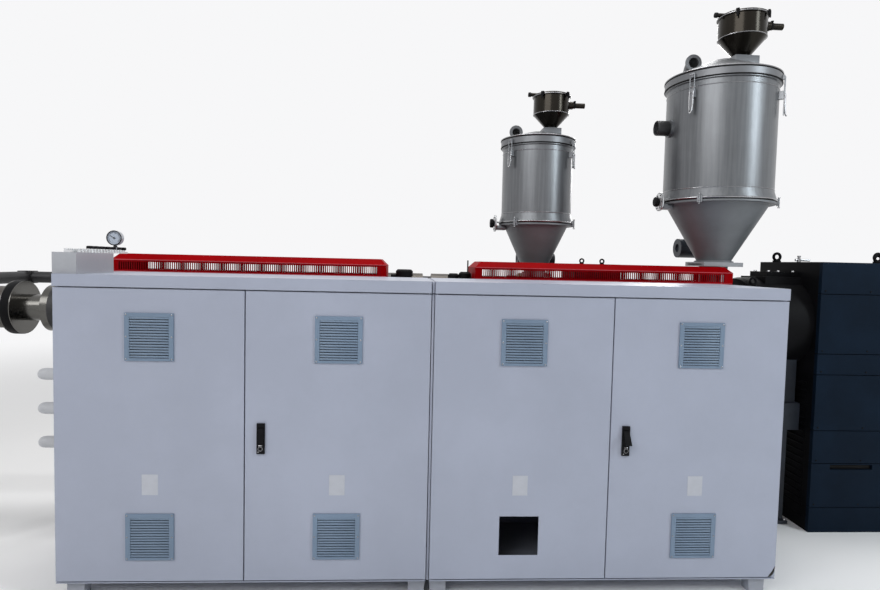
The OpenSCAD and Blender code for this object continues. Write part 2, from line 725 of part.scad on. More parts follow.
module grille(x0, y) {
  l = guard_l - 2 * strip_in - 2 * seat;
  n = floor((l - 2 * strip_edge) / slot_pitch);
  translate([x0 + strip_in + seat, y, strip_z0 + seat]) rotate([90, 0, 0])
    translate([0, 0, -guard_t]) linear_extrude(guard_t) difference() {
      square([l, slot_h + 4 - 2 * seat]);
      for (k = [0:n - 1]) translate([strip_edge + k * slot_pitch, 4]) square([slot_w, slot_h - 4]);
    }
}
module guard_grilles() color("brown") place()
  for (x0 = [left_guard_x, right_guard_x], y = [guard_y0, guard_y0 + guard_w - guard_t]) grille(x0, y);

// Capped ports between the guards: their places, radii and heights
cap_x = [right_guard_x - 397, right_guard_x - 107, right_guard_x - 39];
cap_r = [50, 33, 36];
cap_top = [guard_top - 56, guard_top - 73, guard_top - 63];
cap_h = 40;
cap_edge = 10;
side_port_l = 79;
side_port_r = 13;
probe_r = 4;
module port_caps() color("black") place() {
  for (k = [0:2]) {
    difference() {
      rod_z(barrel_z + 40, cap_top[k] - cap_edge - 4, cap_x[k], barrel_y, cap_r[k] - 6);
      rod_x(cap_x[k] - 100, cap_x[k] + 100, barrel_y, barrel_z, barrel_r + seat);
    }
    translate([cap_x[k], barrel_y, 0]) rotate_extrude($fn = round_fn)
      polygon([[0, cap_top[k] - cap_h], [cap_r[k], cap_top[k] - cap_h], [cap_r[k], cap_top[k] - cap_edge],
               [cap_r[k] - cap_edge, cap_top[k]], [0, cap_top[k]]]);
  }
  rod_x(cap_x[0] - side_port_l, cap_x[0], barrel_y, cap_top[0] - 42, side_port_r, small_fn);
  rod_z(cap_top[2] - eps, cap_top[2] + 68, cap_x[2] + 16, barrel_y, probe_r, small_fn);
}

// Feed throats with the fixed parts of the slide gates
gate_bore = [55, 45];
gate_side = [gate_half, gate_half - 25];
gate_plate_t = 8;
gate_slot_h = 7;
gate_rail = 15;
riser_r = [80, 65];
module gate_body(i) {
  x = dryer_x[i];
  y = dryer_y[i];
  z = throat_top[i];
  h = gate_side[i];
  top = z + gate_plate_t + gate_slot_h;
  difference() {
    union() {
      box([x - h, y - h, z], [x + h, y + h, z + gate_plate_t]);
      for (s = [-1, 1])
        box([x - h, y + s * (h - gate_rail) - gate_rail, z + gate_plate_t - eps],
            [x + h, y + s * (h - gate_rail) + gate_rail, top + eps]);
      box([x - h, y - h, top], [x + h, y + h, z + gate_h]);
    }
    rod_z(z - 20, z + gate_h + 1, x, y, gate_bore[i]);
  }
}
module feed_throats() color("darkgray") place() {
  gate_body(0);
  gate_body(1);
  difference() {
    union() {
      box([throat_x0, barrel_y - throat_half, barrel_z - throat_half],
          [throat_x1, barrel_y + throat_half, barrel_z + throat_half]);
      rod_z(barrel_z, throat_top[0] + eps, large_x, barrel_y, riser_r[0]);
      rod_x(throat_x1 - eps, gearbox_x0, barrel_y, barrel_z, throat_half - 5);
    }
    rod_z(barrel_z, throat_top[0], large_x, barrel_y, gate_bore[0]);
  }
  difference() {
    rod_z(coex_feed_top, throat_top[1] + eps, small_x, coex_y, riser_r[1]);
    rod_z(coex_feed_top - 1, throat_top[1] + 1, small_x, coex_y, gate_bore[1]);
  }
}
gear_edge = 30;
gear_cap_top = barrel_z + gearbox_r + 38;
gear_step_top = barrel_z + gearbox_r + 8;
module gearbox() color("black") place() {
  difference() {
    union() {
      translate([gearbox_x0, barrel_y, barrel_z]) rotate([0, 90, 0]) rotate_extrude($fn = turned_fn)
        polygon([[0, 0], [gearbox_r - gear_edge, 0], [gearbox_r - 9, 9], [gearbox_r, gear_edge],
                 [gearbox_r, gearbox_l], [0, gearbox_l]]);
      box([gearbox_x0 + 115, barrel_y - 130, barrel_z + 150], [drive_x0, barrel_y + 130, gear_step_top]);
      box([gearbox_x0 + 150, barrel_y - 90, barrel_z + 150], [drive_x0, barrel_y + 90, gear_cap_top]);
    }
    rod_x(gearbox_x0 - 1, gearbox_x0 + 60, barrel_y, barrel_z, 60);
  }
  eyebolt(gearbox_x0 + 40, barrel_y - 0.5 * gearbox_r, barrel_z + 0.86 * gearbox_r - 10, 24);
}
eye_at = [[30, 470], [368, 60], [695, 460]];
side_recess = 8;
module drive_housing() color("black") place() {
  difference() {
    box([drive_x0, drive_y0 + panel_t, 0], [drive_x1, drive_y0 + drive_d, drive_h]);
    box([drive_x0 - 1, drive_y0 + panel_t + 40, 60],
        [drive_x0 + side_recess, drive_y0 + drive_d - 40, barrel_z - gearbox_r - 30]);
  }
  for (e = eye_at) eyebolt(drive_x0 + e[0], drive_y0 + e[1], drive_h, 30);
}
panel_z = [0, 146, 402, 592, 913, 1032, 1371, drive_h];
panel_seam = 4;
panel_last = len(panel_z) - 2;
slot_x = [111, 363];
slot_z = [366, 394];
module drive_panels() color("midnightblue") place() difference() {
  for (k = [0:panel_last])
    box([drive_x0, drive_y0, panel_z[k] + (k == 0 ? 0 : panel_seam / 2)],
        [drive_x1, drive_y0 + panel_t, panel_z[k + 1] - (k == panel_last ? 0 : panel_seam / 2)]);
  box([drive_x0 + slot_x[0], drive_y0 - 1, slot_z[0]],
      [drive_x0 + slot_x[1], drive_y0 + panel_t - 5, slot_z[1]]);
}

// Slide gates
grip_half = 30;
module blade(i) {
  x = dryer_x[i];
  y = dryer_y[i];
  z = throat_top[i] + gate_plate_t + 0.5;
  h = gate_side[i];
  side = h - 2 * gate_rail - seat;
  box([x - h + 40, y - side, z], [x + h + 12, y + side, z + blade_h]);
  box([x + h + 8, y - grip_half, z - 6], [x + h + 16, y + grip_half, z + blade_h + 8]);
}
module large_slide_gate() color("darkseagreen") place() blade(0);
module small_slide_gate() color("darkseagreen") place()
  translate([2 * small_x, 0, 0]) mirror([1, 0, 0]) blade(1);

// Dryers
flare_h = 48;
module drum(i) {
  r = drum_r[i];
  revolve(dryer_x[i], dryer_y[i], [
    [r - shell_t, drum_z[i] - ring_h / 2], [r + rim_out, drum_z[i] - ring_h / 2], [r + rim_out, drum_z[i]],
    [r + rim_out - 3, drum_z[i] + 10], [r, drum_z[i] + flare_h], [r, rim_z[i] - 10],
    [r + rim_out - 4, rim_z[i] - 6], [r + rim_out - 4, rim_z[i]],
    [r - shell_t, rim_z[i]]]);
}
module cone(i) {
  r = drum_r[i];
  c = cone_r[i];
  s = spout_r[i];
  revolve(dryer_x[i], dryer_y[i], [
    [s - shell_t, cone_z[i]], [s, cone_z[i]], [c, ring_z[i]], [r + rim_out, ring_z[i]],
    [r + rim_out, ring_z[i] + ring_h / 2],
    [c - shell_t, ring_z[i] + ring_h / 2], [c - shell_t, ring_z[i]]]);
}
module cone_outlets() color("gray") place() for (i = [0, 1]) {
  s = spout_r[i];
  revolve(dryer_x[i], dryer_y[i], [
    [s - shell_t, gate_top[i]], [s + outlet_rim, gate_top[i]], [s + outlet_rim, gate_top[i] + 6],
    [s, gate_top[i] + 10], [s, cone_z[i]], [s - shell_t, cone_z[i]]]);
}
module lid(i) {
  r = drum_r[i] + rim_out;
  f = lid_flat_r[i];
  revolve(dryer_x[i], dryer_y[i], [
    [r - shell_t, rim_z[i]], [r, rim_z[i]], [r, lid_z[i] + edge_t], [f, lid_top[i]], [0, lid_top[i]],
    [0, lid_top[i] - shell_t], [f - 20, lid_top[i] - shell_t], [r - shell_t, lid_z[i] + edge_t - shell_t]]);
}
// A round plate held out beside the joint of drum and cone
disc_out = 30;
disc_r = 54;
disc_half_t = 5;
module side_disc(i) {
  x = dryer_x[i] - drum_r[i] - rim_out - disc_out;
  box([x, dryer_y[i] - 15, drum_z[i] - 9], [x + disc_out + 8, dryer_y[i] + 15, drum_z[i] - 2]);
  rod_x(x - disc_half_t, x + disc_half_t, dryer_y[i], drum_z[i] - ring_h / 2, disc_r);
}
stub_r = 42;
stub_l = 83;
stub_z = rim_z[0] - 238;
stub_x = large_x - large_r;
module large_drum() color("lightgray") place() {
  drum(0);
  side_disc(0);
  difference() {
    union() {
      rod_x(stub_x - stub_l, stub_x + 40, barrel_y, stub_z, stub_r);
      rod_x(stub_x - 12, stub_x + 40, barrel_y, stub_z, stub_r + 10);
    }
    rod_z(drum_z[0], rim_z[0], large_x, barrel_y, large_r - shell_t / 2, turned_fn);
    rod_x(stub_x - stub_l - 1, stub_x - stub_l + 60, barrel_y, stub_z, stub_r - 5);
  }
}
module large_cone() color("gray") place() cone(0);
// Exhaust elbows: places as shares of the drum's radius, then flange, pipe, bore and bend
exhaust_x = [-0.403, -0.568];
exhaust_y = [0.584, 0.668];
exhaust_up = [28, 24];
exhaust_flange_r = [50, 45];
exhaust_flange_t = 8;
exhaust_pipe_r = [34, 29];
exhaust_bore_r = [30, 25];
exhaust_bend = [55, 45];
module elbow(i, r, up, base) {
  b = exhaust_bend[i];
  translate([0, -b, up]) rotate([90, 0, 90]) rotate_extrude(angle = 90, $fn = turned_fn)
    translate([b, 0]) circle(r, $fn = round_fn);
  rod_z(base, up, 0, 0, r + 3);
}
// A height just below the lid's sheet at a distance from its axis
function lid_inner_z(i, r) = lid_z[i] + edge_t - 2 * shell_t
  + lid_h[i] * (drum_r[i] + rim_out - r) / (drum_r[i] + rim_out - lid_flat_r[i]);
module exhausted_lid(i) {
  at = [drum_r[i] * exhaust_x[i], drum_r[i] * exhaust_y[i]];
  far = norm(at) + exhaust_pipe_r[i] + 3;
  base = lid_inner_z(i, far);
  half = loader_base_half[i];
  seat_z = lid_inner_z(i, loader_off * drum_r[i] + 1.42 * half);
  up = lid_top[i] + exhaust_up[i] - exhaust_bend[i];
  mouth = up + exhaust_bend[i];
  difference() {
    union() {
      lid(i);
      translate([dryer_x[i] + at[0], dryer_y[i] + at[1], 0]) {
        elbow(i, exhaust_pipe_r[i], up, base);
        rod_y(-exhaust_bend[i] - exhaust_flange_t, -exhaust_bend[i] + 1, 0, mouth, exhaust_flange_r[i]);
      }
      box([loader_x[i] - half, dryer_y[i] - half, seat_z],
        [loader_x[i] + half, dryer_y[i] + half, loader_z[i]]);
    }
    translate([dryer_x[i] + at[0], dryer_y[i] + at[1], 0]) {
      elbow(i, exhaust_bore_r[i], up, base - 20);
      rod_y(-exhaust_bend[i] - exhaust_flange_t - 1, -exhaust_bend[i] + 2, 0, mouth, exhaust_bore_r[i] + 1);
    }
    rod_z(seat_z - 1, loader_z[i] + 1, loader_x[i], dryer_y[i], loader_spout_r[i] - shell_t);
  }
}
module large_lid() color("lightgray") place() exhausted_lid(0);
module small_drum() color("lightgray") place() {
  drum(1);
  side_disc(1);
}
module small_cone() color("gray") place() cone(1);
module small_lid() color("lightgray") place() exhausted_lid(1);

latch_lid_angle = [215, 320, 80];
latch_ring_angle = [227, 334, 64];
latch_size = [1, 0.75];
rod_r = 2.5;
module lid_latch(i, a) translate([dryer_x[i], dryer_y[i], rim_z[i]]) rotate([0, 0, a]) {
  x = drum_r[i] + rim_out;
  k = latch_size[i];
  box([drum_r[i] + seat, -12, -100 * k], [x + 11, 12, -55 * k]);
  box([x + seat, -9, 8], [x + 11, 9, 34]);
  for (y = [-13, 13]) rod_z(-78 * k, 24, x + 12.5, y, rod_r, small_fn);
  for (z = [-78 * k, 24]) rod_y(-15.5, 15.5, x + 12.5, z, rod_r + 1, small_fn);
  box([x + 10, -8, -190 * k], [x + 15, 8, -70 * k]);
}
module ring_clamp(i, a) translate([dryer_x[i], dryer_y[i], ring_z[i]]) rotate([0, 0, a]) {
  x = drum_r[i] + rim_out + seat;
  box([x, -14, -6], [x + 7, 14, ring_h + 8]);
  box([x + 5, -7, 4], [x + 16, 7, 16]);
  rod_z(-12, ring_h + 14, x + 12, 0, 4, small_fn);
}
module toggle_latches() color("silver") place() for (i = [0, 1]) {
  for (a = latch_lid_angle) lid_latch(i, a);
  for (a = latch_ring_angle) ring_clamp(i, a);
}
// Each dryer's fan stands behind its cone and blows up a heater duct into the drum
fan_r = [62, 52];
fan_down = [248, 215];
fan_x = [-68, 80];
duct_x = [10, 80];
motor_r = [48, 40];
motor_l = 120;
intake_share = 0.45;
duct_up = 75;
duct_in = 60;
module dryer_blowers() color("slategray") place() for (i = [0, 1]) {
  x = dryer_x[i];
  y0 = dryer_y[i] + drum_r[i] + rim_out + duct_off;
  y1 = y0 + duct_w[i];
  z = ring_z[i] - fan_down[i];
  fan_y = y1 - fan_r[i];
  duct_z = drum_z[i] + flare_h;
  difference() {
    union() {
      rod_x(x + fan_x[0], x + fan_x[1], fan_y, z, fan_r[i]);
      rod_x(x + fan_x[1] - eps, x + fan_x[1] + motor_l, fan_y, z, motor_r[i]);
      box([x + duct_x[0], y0, z], [x + duct_x[1], y1, duct_z + duct_up]);
      box([x + duct_x[0], y0 - duct_in, duct_z + 6], [x + duct_x[1], y0 + eps, duct_z + duct_up - 5]);
    }
    rod_z(duct_z, duct_z + duct_up, x, dryer_y[i], drum_r[i] + seat, turned_fn);
    rod_x(x + fan_x[0] - 1, x + fan_x[0] + 12, fan_y, z, fan_r[i] * intake_share);
  }
}

// Vacuum loaders
inlet_r = [19, 17];
inlet_wall = 6;
inlet_l = 80;
shoulder_l = [30, 25];
inlet_down = [38, 48];
flange_out = 7;
module loader(i) {
  r = loader_r[i];
  s = loader_spout_r[i];
  x = loader_x[i] + r + shoulder_l[i];
  z = loader_top[i] - inlet_down[i];
  difference() {
    union() {
      revolve(loader_x[i], dryer_y[i], [
        [s - shell_t, loader_z[i]], [s + 10, loader_z[i]], [s + 10, loader_z[i] + 5], [s, loader_z[i] + 9],
        [r, loader_body_z[i]], [r, loader_top[i] - 8], [r + flange_out, loader_top[i] - 6],
        [r + flange_out, loader_top[i]], [r - shell_t, loader_top[i]], [r - shell_t, loader_body_z[i] + 2],
        [s - shell_t, loader_z[i] + 12]]);
      rod_x(loader_x[i] + r - 2, x, dryer_y[i], z, inlet_r[i] + 8);
      rod_x(x - eps, x + inlet_l, dryer_y[i], z, inlet_r[i]);
    }
    rod_x(x - shoulder_l[i] - 20, x + inlet_l + 1, dryer_y[i], z, inlet_r[i] - inlet_wall, small_fn);
  }
}
spigot_r = 12;
spigot_l = 30;
module loader_lid(i) {
  r = loader_r[i] + flange_out;
  z = loader_top[i];
  revolve(loader_x[i], dryer_y[i], [[0, z], [r, z], [r, z + 7], [r - 14, z + 14], [0, z + 34]]);
  rod_x(loader_x[i] - r - spigot_l, loader_x[i] - r / 2, dryer_y[i], z + 13, spigot_r, small_fn);
}
clamp_angle = [-50, 90, 230];
module loader_clamp(i, a) translate([loader_x[i], dryer_y[i], loader_top[i]]) rotate([0, 0, a]) {
  x = loader_r[i] + flange_out + seat;
  box([x, -9, -16], [x + 10, 9, 12]);
  box([x + 8, -5, -34], [x + 13, 5, 4]);
}
module large_loader() color("silver") place() loader(0);
module small_loader() color("silver") place() loader(1);
module loader_lids() color("silver") place() {
  loader_lid(0);
  loader_lid(1);
}
module loader_clamps() color("black") place() for (i = [0, 1], a = clamp_angle) loader_clamp(i, a);

// Co-extruder
module coextruder_barrel() color("dimgray") place() {
  rod_x(coex_x0, coex_x1, coex_y, coex_z, coex_r);
  box([small_x - coex_feed_half, coex_y - coex_feed_half, coex_z - coex_feed_half],
      [coex_x1, coex_y + coex_feed_half, coex_feed_top]);
  rod_x(melt_x0, coex_x0 + eps, coex_y, coex_z, melt_r);
  for (y = [barrel_y, coex_y])
    box([melt_x0 - melt_block, y - melt_block, coex_z - melt_block],
        [melt_x0 + melt_block, y + melt_block, coex_z + melt_block]);
  rod_y(barrel_y, coex_y, melt_x0, coex_z, melt_r);
}
coex_gear_half = 150;
coex_gear_top = coex_z + 166;
coex_motor_r = 150;
coex_motor_l = 420;
coex_motor_z = coex_beam_top + coex_motor_r + 40;
motor_foot_half = 30;
module coextruder_drive() color("black") place() {
  box([coex_gear_x0, coex_y - coex_gear_half, coex_beam_top],
      [coex_gear_x1, coex_y + coex_gear_half, coex_gear_top]);
  rod_x(coex_x1, coex_gear_x0 + eps, coex_y, coex_z, coex_r + 5);
  rod_x(coex_gear_x1 - eps, coex_gear_x1 + coex_motor_l, coex_y, coex_motor_z, coex_motor_r);
  for (x = [coex_gear_x1 + 70, coex_gear_x1 + 200])
    box([x - motor_foot_half, coex_y - 120, coex_beam_top],
        [x + motor_foot_half, coex_y + 120, coex_motor_z - 60]);
  for (x = [coex_gear_x0 + 78, coex_gear_x0 + 215]) eyebolt(x, coex_y - 40, coex_gear_top, 18);
}

cabinet_left_shell();
cabinet_right_shell();
cabinet_feet();
mounting_plates();
door_1();
door_2();
door_3();
door_4();
door_1_vents();
door_2_vents();
door_3_vent();
door_4_vents();
left_lock_plate();
right_lock_plate();
left_lock_lever();
right_lock_lever();
top_trunking();
air_manifold();
valve_knobs();
pressure_gauge();
plug_sockets();
plug_connectors();
base_frame();
machine_legs();
guard_posts();
barrel_supports();
barrel();
heater_bands();
die_head();
left_guard();
right_guard();
guard_grilles();
port_caps();
feed_throats();
gearbox();
drive_housing();
drive_panels();
large_slide_gate();
small_slide_gate();
large_drum();
large_cone();
large_lid();
small_drum();
small_cone();
small_lid();
cone_outlets();
toggle_latches();
dryer_blowers();
large_loader();
small_loader();
loader_lids();
loader_clamps();
coextruder_frame();
coextruder_barrel();
coextruder_drive();
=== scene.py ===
"""Plastic extruder line: looks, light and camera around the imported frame.

Places are given in millimetres in the line's own frame (X from the joint between the two cabinets,
Y from the door faces, Z from the floor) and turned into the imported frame's metres by to_m().
"""

import math

import bpy
import numpy as np
from mathutils import Matrix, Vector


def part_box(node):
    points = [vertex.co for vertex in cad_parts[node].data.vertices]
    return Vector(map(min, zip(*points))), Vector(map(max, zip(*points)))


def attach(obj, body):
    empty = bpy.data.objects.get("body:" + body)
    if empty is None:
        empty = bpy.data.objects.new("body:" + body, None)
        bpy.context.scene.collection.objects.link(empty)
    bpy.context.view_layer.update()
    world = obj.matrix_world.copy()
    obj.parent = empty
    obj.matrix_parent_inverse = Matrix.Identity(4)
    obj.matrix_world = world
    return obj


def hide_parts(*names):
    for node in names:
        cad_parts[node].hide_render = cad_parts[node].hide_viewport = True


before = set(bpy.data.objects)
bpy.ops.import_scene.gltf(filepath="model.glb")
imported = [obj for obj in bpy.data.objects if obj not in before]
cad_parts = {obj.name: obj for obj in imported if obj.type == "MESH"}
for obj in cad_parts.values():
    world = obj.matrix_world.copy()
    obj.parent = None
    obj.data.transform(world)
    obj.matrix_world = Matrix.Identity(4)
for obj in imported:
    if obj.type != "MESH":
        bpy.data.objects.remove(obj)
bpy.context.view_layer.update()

# The line's origin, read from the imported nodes, in metres
ORIGIN = np.array([
    (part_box("cabinet_left_shell")[0].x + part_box("cabinet_right_shell")[1].x) / 2,
    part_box("door_1")[0].y,
    0.0,
])

TAU = 2 * math.pi
ALONG, FRONT, BACK, UP = (1, 0, 0), (0, -1, 0), (0, 1, 0), (0, 0, 1)
# The small radius, in mm, to which the ends of turned and swept forms draw in
TIP = 0.02
# The body that stands still
FIXED = "extruder"

# Cabinets and their doors from left to right, in mm like all sizes below
CABINET_X = (-1600.0, 8.0)
CABINET_W = 1592.0
DOOR_X = (-1600.0, -801.5, 8.0, 806.5)
DOOR_W = 793.5
DOOR_FOOT = 89.0
VENT_Z = (286.0, 1155.0)
VENT_SCREWS = ((-95, -95), (95, -95), (-95, 95), (95, 95), (-95, 0), (95, 0))
VENT_FOOT = 91.0
VENT_BLADES = 15
VENT_PITCH = 11.733
# The door whose lower vent is missing, counted from 0
OPEN_DOOR = 2
LABEL_HALF = 34.0
LABEL_Z = (470.0, 560.0)
LOCK_Z = 678.5
# Each lock's piece, door, plate and place in X
LOCKS = (("lock_rim_and_highlight_1", "door_2", "left_lock_plate", -733.5),
         ("lock_rim_and_highlight_3", "door_4", "right_lock_plate", 874.5))
# The joint's two cover strips, each from a low to a high corner
STRIP_LOW = ((-4.5, 5.0, 84.0), (-4.5, 1.5, 1364.0))
STRIP_HIGH = ((5.5, 40.0, 1361.0), (5.5, 560.0, 1414.0))
RAIL_Z = (330, 560, 790, 1020, 1220)
RAIL_Y = 548.0
PLATE_Y = 554.8

# Trunking, air valves and plugs at the left cabinet
TRUNK_TOP = 1507.0
VALVE_X = -1562.0
VALVE_Y = 229.0
VALVE_STEP = 53.0
VALVES = 7
PLUG_AT = (-1622.0, 120.0)
PLUG_Z = (664, 816, 968)

# Barrel, guards from left to right with their front and back, die and drive
BARREL_Y, BARREL_Z = 945.0, 1190.0
GUARD_X = (-1722.0, 265.0)
GUARD_Y = (755.0, 1135.0)
GUARD_L = 1490.0
GUARD_SCREW_Z = 1385.0
GUARD_FOLD_Z = (1476.0, 1413.0)
FIRST_BAND_X = -2030.0
BAND_PITCH = 245.0
CLAMP_RING_X = -2341.0
BARREL_FLANGE_X = -2060.0
DIE_BAND_X = (-2650.0, -2450.0)
GEARBOX_X = 1870.0
GEARBOX_TOP = 1490.0
LID_BOLT_X = (2040, 2190)
DRIVE_X = 2210.0
DRIVE_Y = 647.0
DRIVE_TOP = 1551.0
PANEL_SEAM_Z = (146, 402, 592, 913, 1032, 1371)
PANEL_SCREW_X = (2235, 2500, 2770, 3035)
PANEL_SLOT_X = (2323.0, 2571.0)
PANEL_SLOT_Z = (367.0, 393.0)
LOUVRE_Z = range(120, 860, 40)
FITTING_AT = (2240.0, 900.0)
FLOOR_PLATE_X = (-1790, -820, 150, 1120, 2090)

# Co-extruder
MOTOR_X = (1270.0, 1690.0)
MOTOR_Z = 890.0
COEXTRUDER_Y, COEXTRUDER_Z = 1400.0, 1346.0
SUPPORT_X = (-500.0, 420.0)
COEXTRUDER_BAND_X = range(-640, 560, 170)

# Dryers and their loaders. Of two values, the first is the large dryer's
DRYER_X = (1735.0, 736.0)
DRYER_Y = (BARREL_Y, COEXTRUDER_Y)
DRUM_R = (305.0, 229.0)
RIM_OUT = 14.0
RING_Z = (1878.0, 1755.0)
RIM_Z = (2564.0, 2265.0)
LID_EDGE_Z = (2618.0, 2319.0)
LID_TOP = (2729.0, 2372.0)
LATCH_ANGLES = (215.0, 320.0, 80.0)
LATCH_SIZE = (1.0, 0.75)
CLAMP_ANGLES = (227.0, 334.0, 64.0)
STUB_L = 83.0
STUB_DOWN = 238.0
# The exhaust's place off the drum's axis, as shares of the drum's radius
EXHAUST_X = (-0.403, -0.568)
EXHAUST_Y = (0.584, 0.668)
EXHAUST_L = (63.0, 53.0)
EXHAUST_UP = (28.0, 24.0)
EXHAUST_R = (29.0, 24.0)
# How far the loader stands off the drum's axis, as a share of the drum's radius
LOADER_OFF = 0.358
LOADER_X = tuple(x + LOADER_OFF * r for x, r in zip(DRYER_X, DRUM_R))
LOADER_R = (134.0, 117.0)
LOADER_NECK_R = (56.0, 50.0)
LOADER_BASE_Z = (2751.0, 2399.0)
LOADER_CONE_Z = (2864.0, 2492.0)
LOADER_TOP = (2985.0, 2608.0)
LOADER_BOX_HALF = (72.0, 58.0)
LOADER_BOX_FOOT = (2640.0, 2335.0)
INLET_R = (19.0, 17.0)
INLET_SHOULDER = (30.0, 25.0)
INLET_DOWN = (38.0, 48.0)


def to_m(p):
    """Line-frame millimetres to packed-frame metres."""
    return np.asarray(p, float) / 1000.0 + ORIGIN


# Surfaces. Each returns (points, faces) as whole arrays, in line-frame millimetres.

def grid(points, wrap_u=False, wrap_v=False):
    """Quads over points p[i, j]: index k = i * m + j, each quad joins (i, j) to (i + 1, j + 1)."""
    n, m = points.shape[:2]
    i = np.arange(n if wrap_u else n - 1)
    j = np.arange(m if wrap_v else m - 1)
    a, b = np.meshgrid(i, j, indexing="ij")
    c, d = (a + 1) % n, (b + 1) % m
    faces = np.stack([a * m + b, c * m + b, c * m + d, a * m + d], axis=-1).reshape(-1, 4)
    return points.reshape(-1, 3), faces


def axes_of(axis):
    """Two unit vectors across an axis, and the axis itself as a unit vector."""
    w = np.asarray(axis, float) / np.linalg.norm(axis)
    side = np.array([0.0, 0.0, 1.0]) if abs(w[2]) < 0.9 else np.array([1.0, 0.0, 0.0])
    u = np.cross(side, w)
    u /= np.linalg.norm(u)
    return u, np.cross(w, u), w


def lathe(profile, at=(0, 0, 0), axis=UP, n=48, ripple=0.0, lobes=0):
    """Turns radius and height pairs round an axis: at angle t, r * (1 + ripple * cos(lobes * t))."""
    profile = np.asarray(profile, float)
    u, v, w = axes_of(axis)
    t = np.arange(n) * TAU / n
    r = profile[None, :, 0] * (1 + ripple * np.cos(lobes * t))[:, None]
    ring = np.cos(t)[:, None, None] * u + np.sin(t)[:, None, None] * v
    points = np.asarray(at, float) + r[..., None] * ring + profile[None, :, 1, None] * w
    return grid(points, wrap_u=True)


def torus(radius, tube, at, axis=UP, n=96, k=10):
    """A ring: radius + tube * cos(s) from the axis, tube * sin(s) along it."""
    s = np.append(np.arange(k), 0) * TAU / k
    return lathe(np.stack([radius + tube * np.cos(s), tube * np.sin(s)], axis=1), at, axis, n)


def rings(at, rows):
    """Level rings round one upright axis, from rows of radius, tube radius and height."""
    return join(*[torus(radius, tube, at + [0, 0, z]) for radius, tube, z in rows])


def sweep(path, tube, n=10):
    """A round rod: circles of the tube's radius across the path's tangent, closed at both ends."""
    path = np.asarray(path, float)
    path = np.concatenate([path[:1], path, path[-1:]])
    tangent = np.gradient(path, axis=0)
    tangent[0], tangent[-1] = tangent[1], tangent[-2]
    tangent /= np.linalg.norm(tangent, axis=1)[:, None] + 1e-9
    lead = np.cross(tangent, axes_of(path[-1] - path[0] + 1e-3)[0])
    lead /= np.linalg.norm(lead, axis=1)[:, None] + 1e-9
    other = np.cross(tangent, lead)
    r = np.full(len(path), float(tube))
    r[[0, -1]] = TIP
    t = np.arange(n) * TAU / n
    across = np.cos(t)[None, :, None] * lead[:, None, :] + np.sin(t)[None, :, None] * other[:, None, :]
    return grid(path[:, None, :] + r[:, None, None] * across, wrap_v=True)


def rod(start, end, tube, n=6):
    """A straight rod between two points."""
    start, end = np.asarray(start, float), np.asarray(end, float)
    return sweep([start, (start + end) / 2, end], tube, n)


def bars(lo, hi, edge=1.0):
    """Boxes with cut edges: a rectangle with cut corners, drawn up its height and in at both ends."""
    lo, hi = np.atleast_2d(np.asarray(lo, float)), np.atleast_2d(np.asarray(hi, float))
    corner = np.array([[0, 0], [1, 0], [1, 1], [0, 1]], float)
    inset = edge * np.repeat(np.where(corner > 0, -1.0, 1.0), 2, axis=0)
    outline = np.repeat(corner, 2, axis=0)
    cut = np.array([[0, 1], [1, 0], [1, 0], [0, 1], [0, 1], [1, 0], [1, 0], [0, 1]]) * inset
    size = hi - lo
    rows = []
    # Foot and head, each as an end ring drawn in by 0.8 of the edge and a full ring
    for level, lift, drawn in ((0, 0.0, 0.8), (0, edge, 0.0), (1, -edge, 0.0), (1, 0.0, 0.8)):
        xy = lo[:, None, :2] + outline * size[:, None, :2] + cut + drawn * inset
        z = np.broadcast_to((lo[:, 2] + level * size[:, 2] + lift)[:, None, None], xy.shape[:2] + (1,))
        rows.append(np.concatenate([xy, z], axis=2))
    points = np.stack(rows, axis=1)
    unit = grid(points[0], wrap_v=True)[1]
    # Three quads close each eight-cornered end
    caps = [[7, 6, 5, 4], [7, 4, 3, 0], [0, 3, 2, 1], [24, 25, 26, 27], [24, 27, 28, 31], [31, 28, 29, 30]]
    unit = np.concatenate([unit, caps])
    faces = (np.arange(len(lo)) * 32)[:, None, None] + unit[None]
    return points.reshape(-1, 3), faces.reshape(-1, 4)


def studs(places, axis, r, h, sides=6, dome=0.25):
    """One turned head at many places: radius r and height h, its top drawn in over the share dome."""
    head = [(TIP, 0), (r, 0), (r, h * (1 - dome)), (r * 0.8, h), (TIP, h)]
    points, faces = lathe(head, axis=axis, n=sides)
    places = np.atleast_2d(np.asarray(places, float))
    many = places[:, None, :] + points[None]
    return many.reshape(-1, 3), (np.arange(len(places)) * len(points))[:, None, None] + faces[None]


def circle_places(x, y, z, r, count, start=0.0):
    """Places evenly round a circle across X: y + r * cos(t) and z + r * sin(t)."""
    t = (np.arange(count) + start) * TAU / count
    return np.stack([np.full(count, float(x)), y + r * np.cos(t), z + r * np.sin(t)], axis=1)


def join(*parts):
    """One surface out of several."""
    points, faces, start = [], [], 0
    for p, f in parts:
        points.append(p)
        faces.append(f.reshape(-1, 4) + start)
        start += len(p)
    return np.concatenate(points), np.concatenate(faces)


def add(name, data):
    """A new object in the scene's own collection."""
    obj = bpy.data.objects.new(name, data)
    bpy.context.scene.collection.objects.link(obj)
    return obj


def piece(name, surface, mat, body=FIXED, replaces=None, smooth=True):
    """Makes an object from a surface in line-frame mm and lets it ride on a body."""
    points, faces = surface
    mesh = bpy.data.meshes.new(name)
    mesh.from_pydata(to_m(points).tolist(), [], faces.reshape(-1, 4).tolist())
    mesh.validate()
    mesh.polygons.foreach_set("use_smooth", np.full(len(mesh.polygons), smooth))
    mesh.materials.append(mat)
    obj = add(name, mesh)
    if smooth:
        mesh.set_sharp_from_angle(angle=math.radians(40))
    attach(obj, body)
    if replaces:
        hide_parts(replaces)
    return obj


# Materials

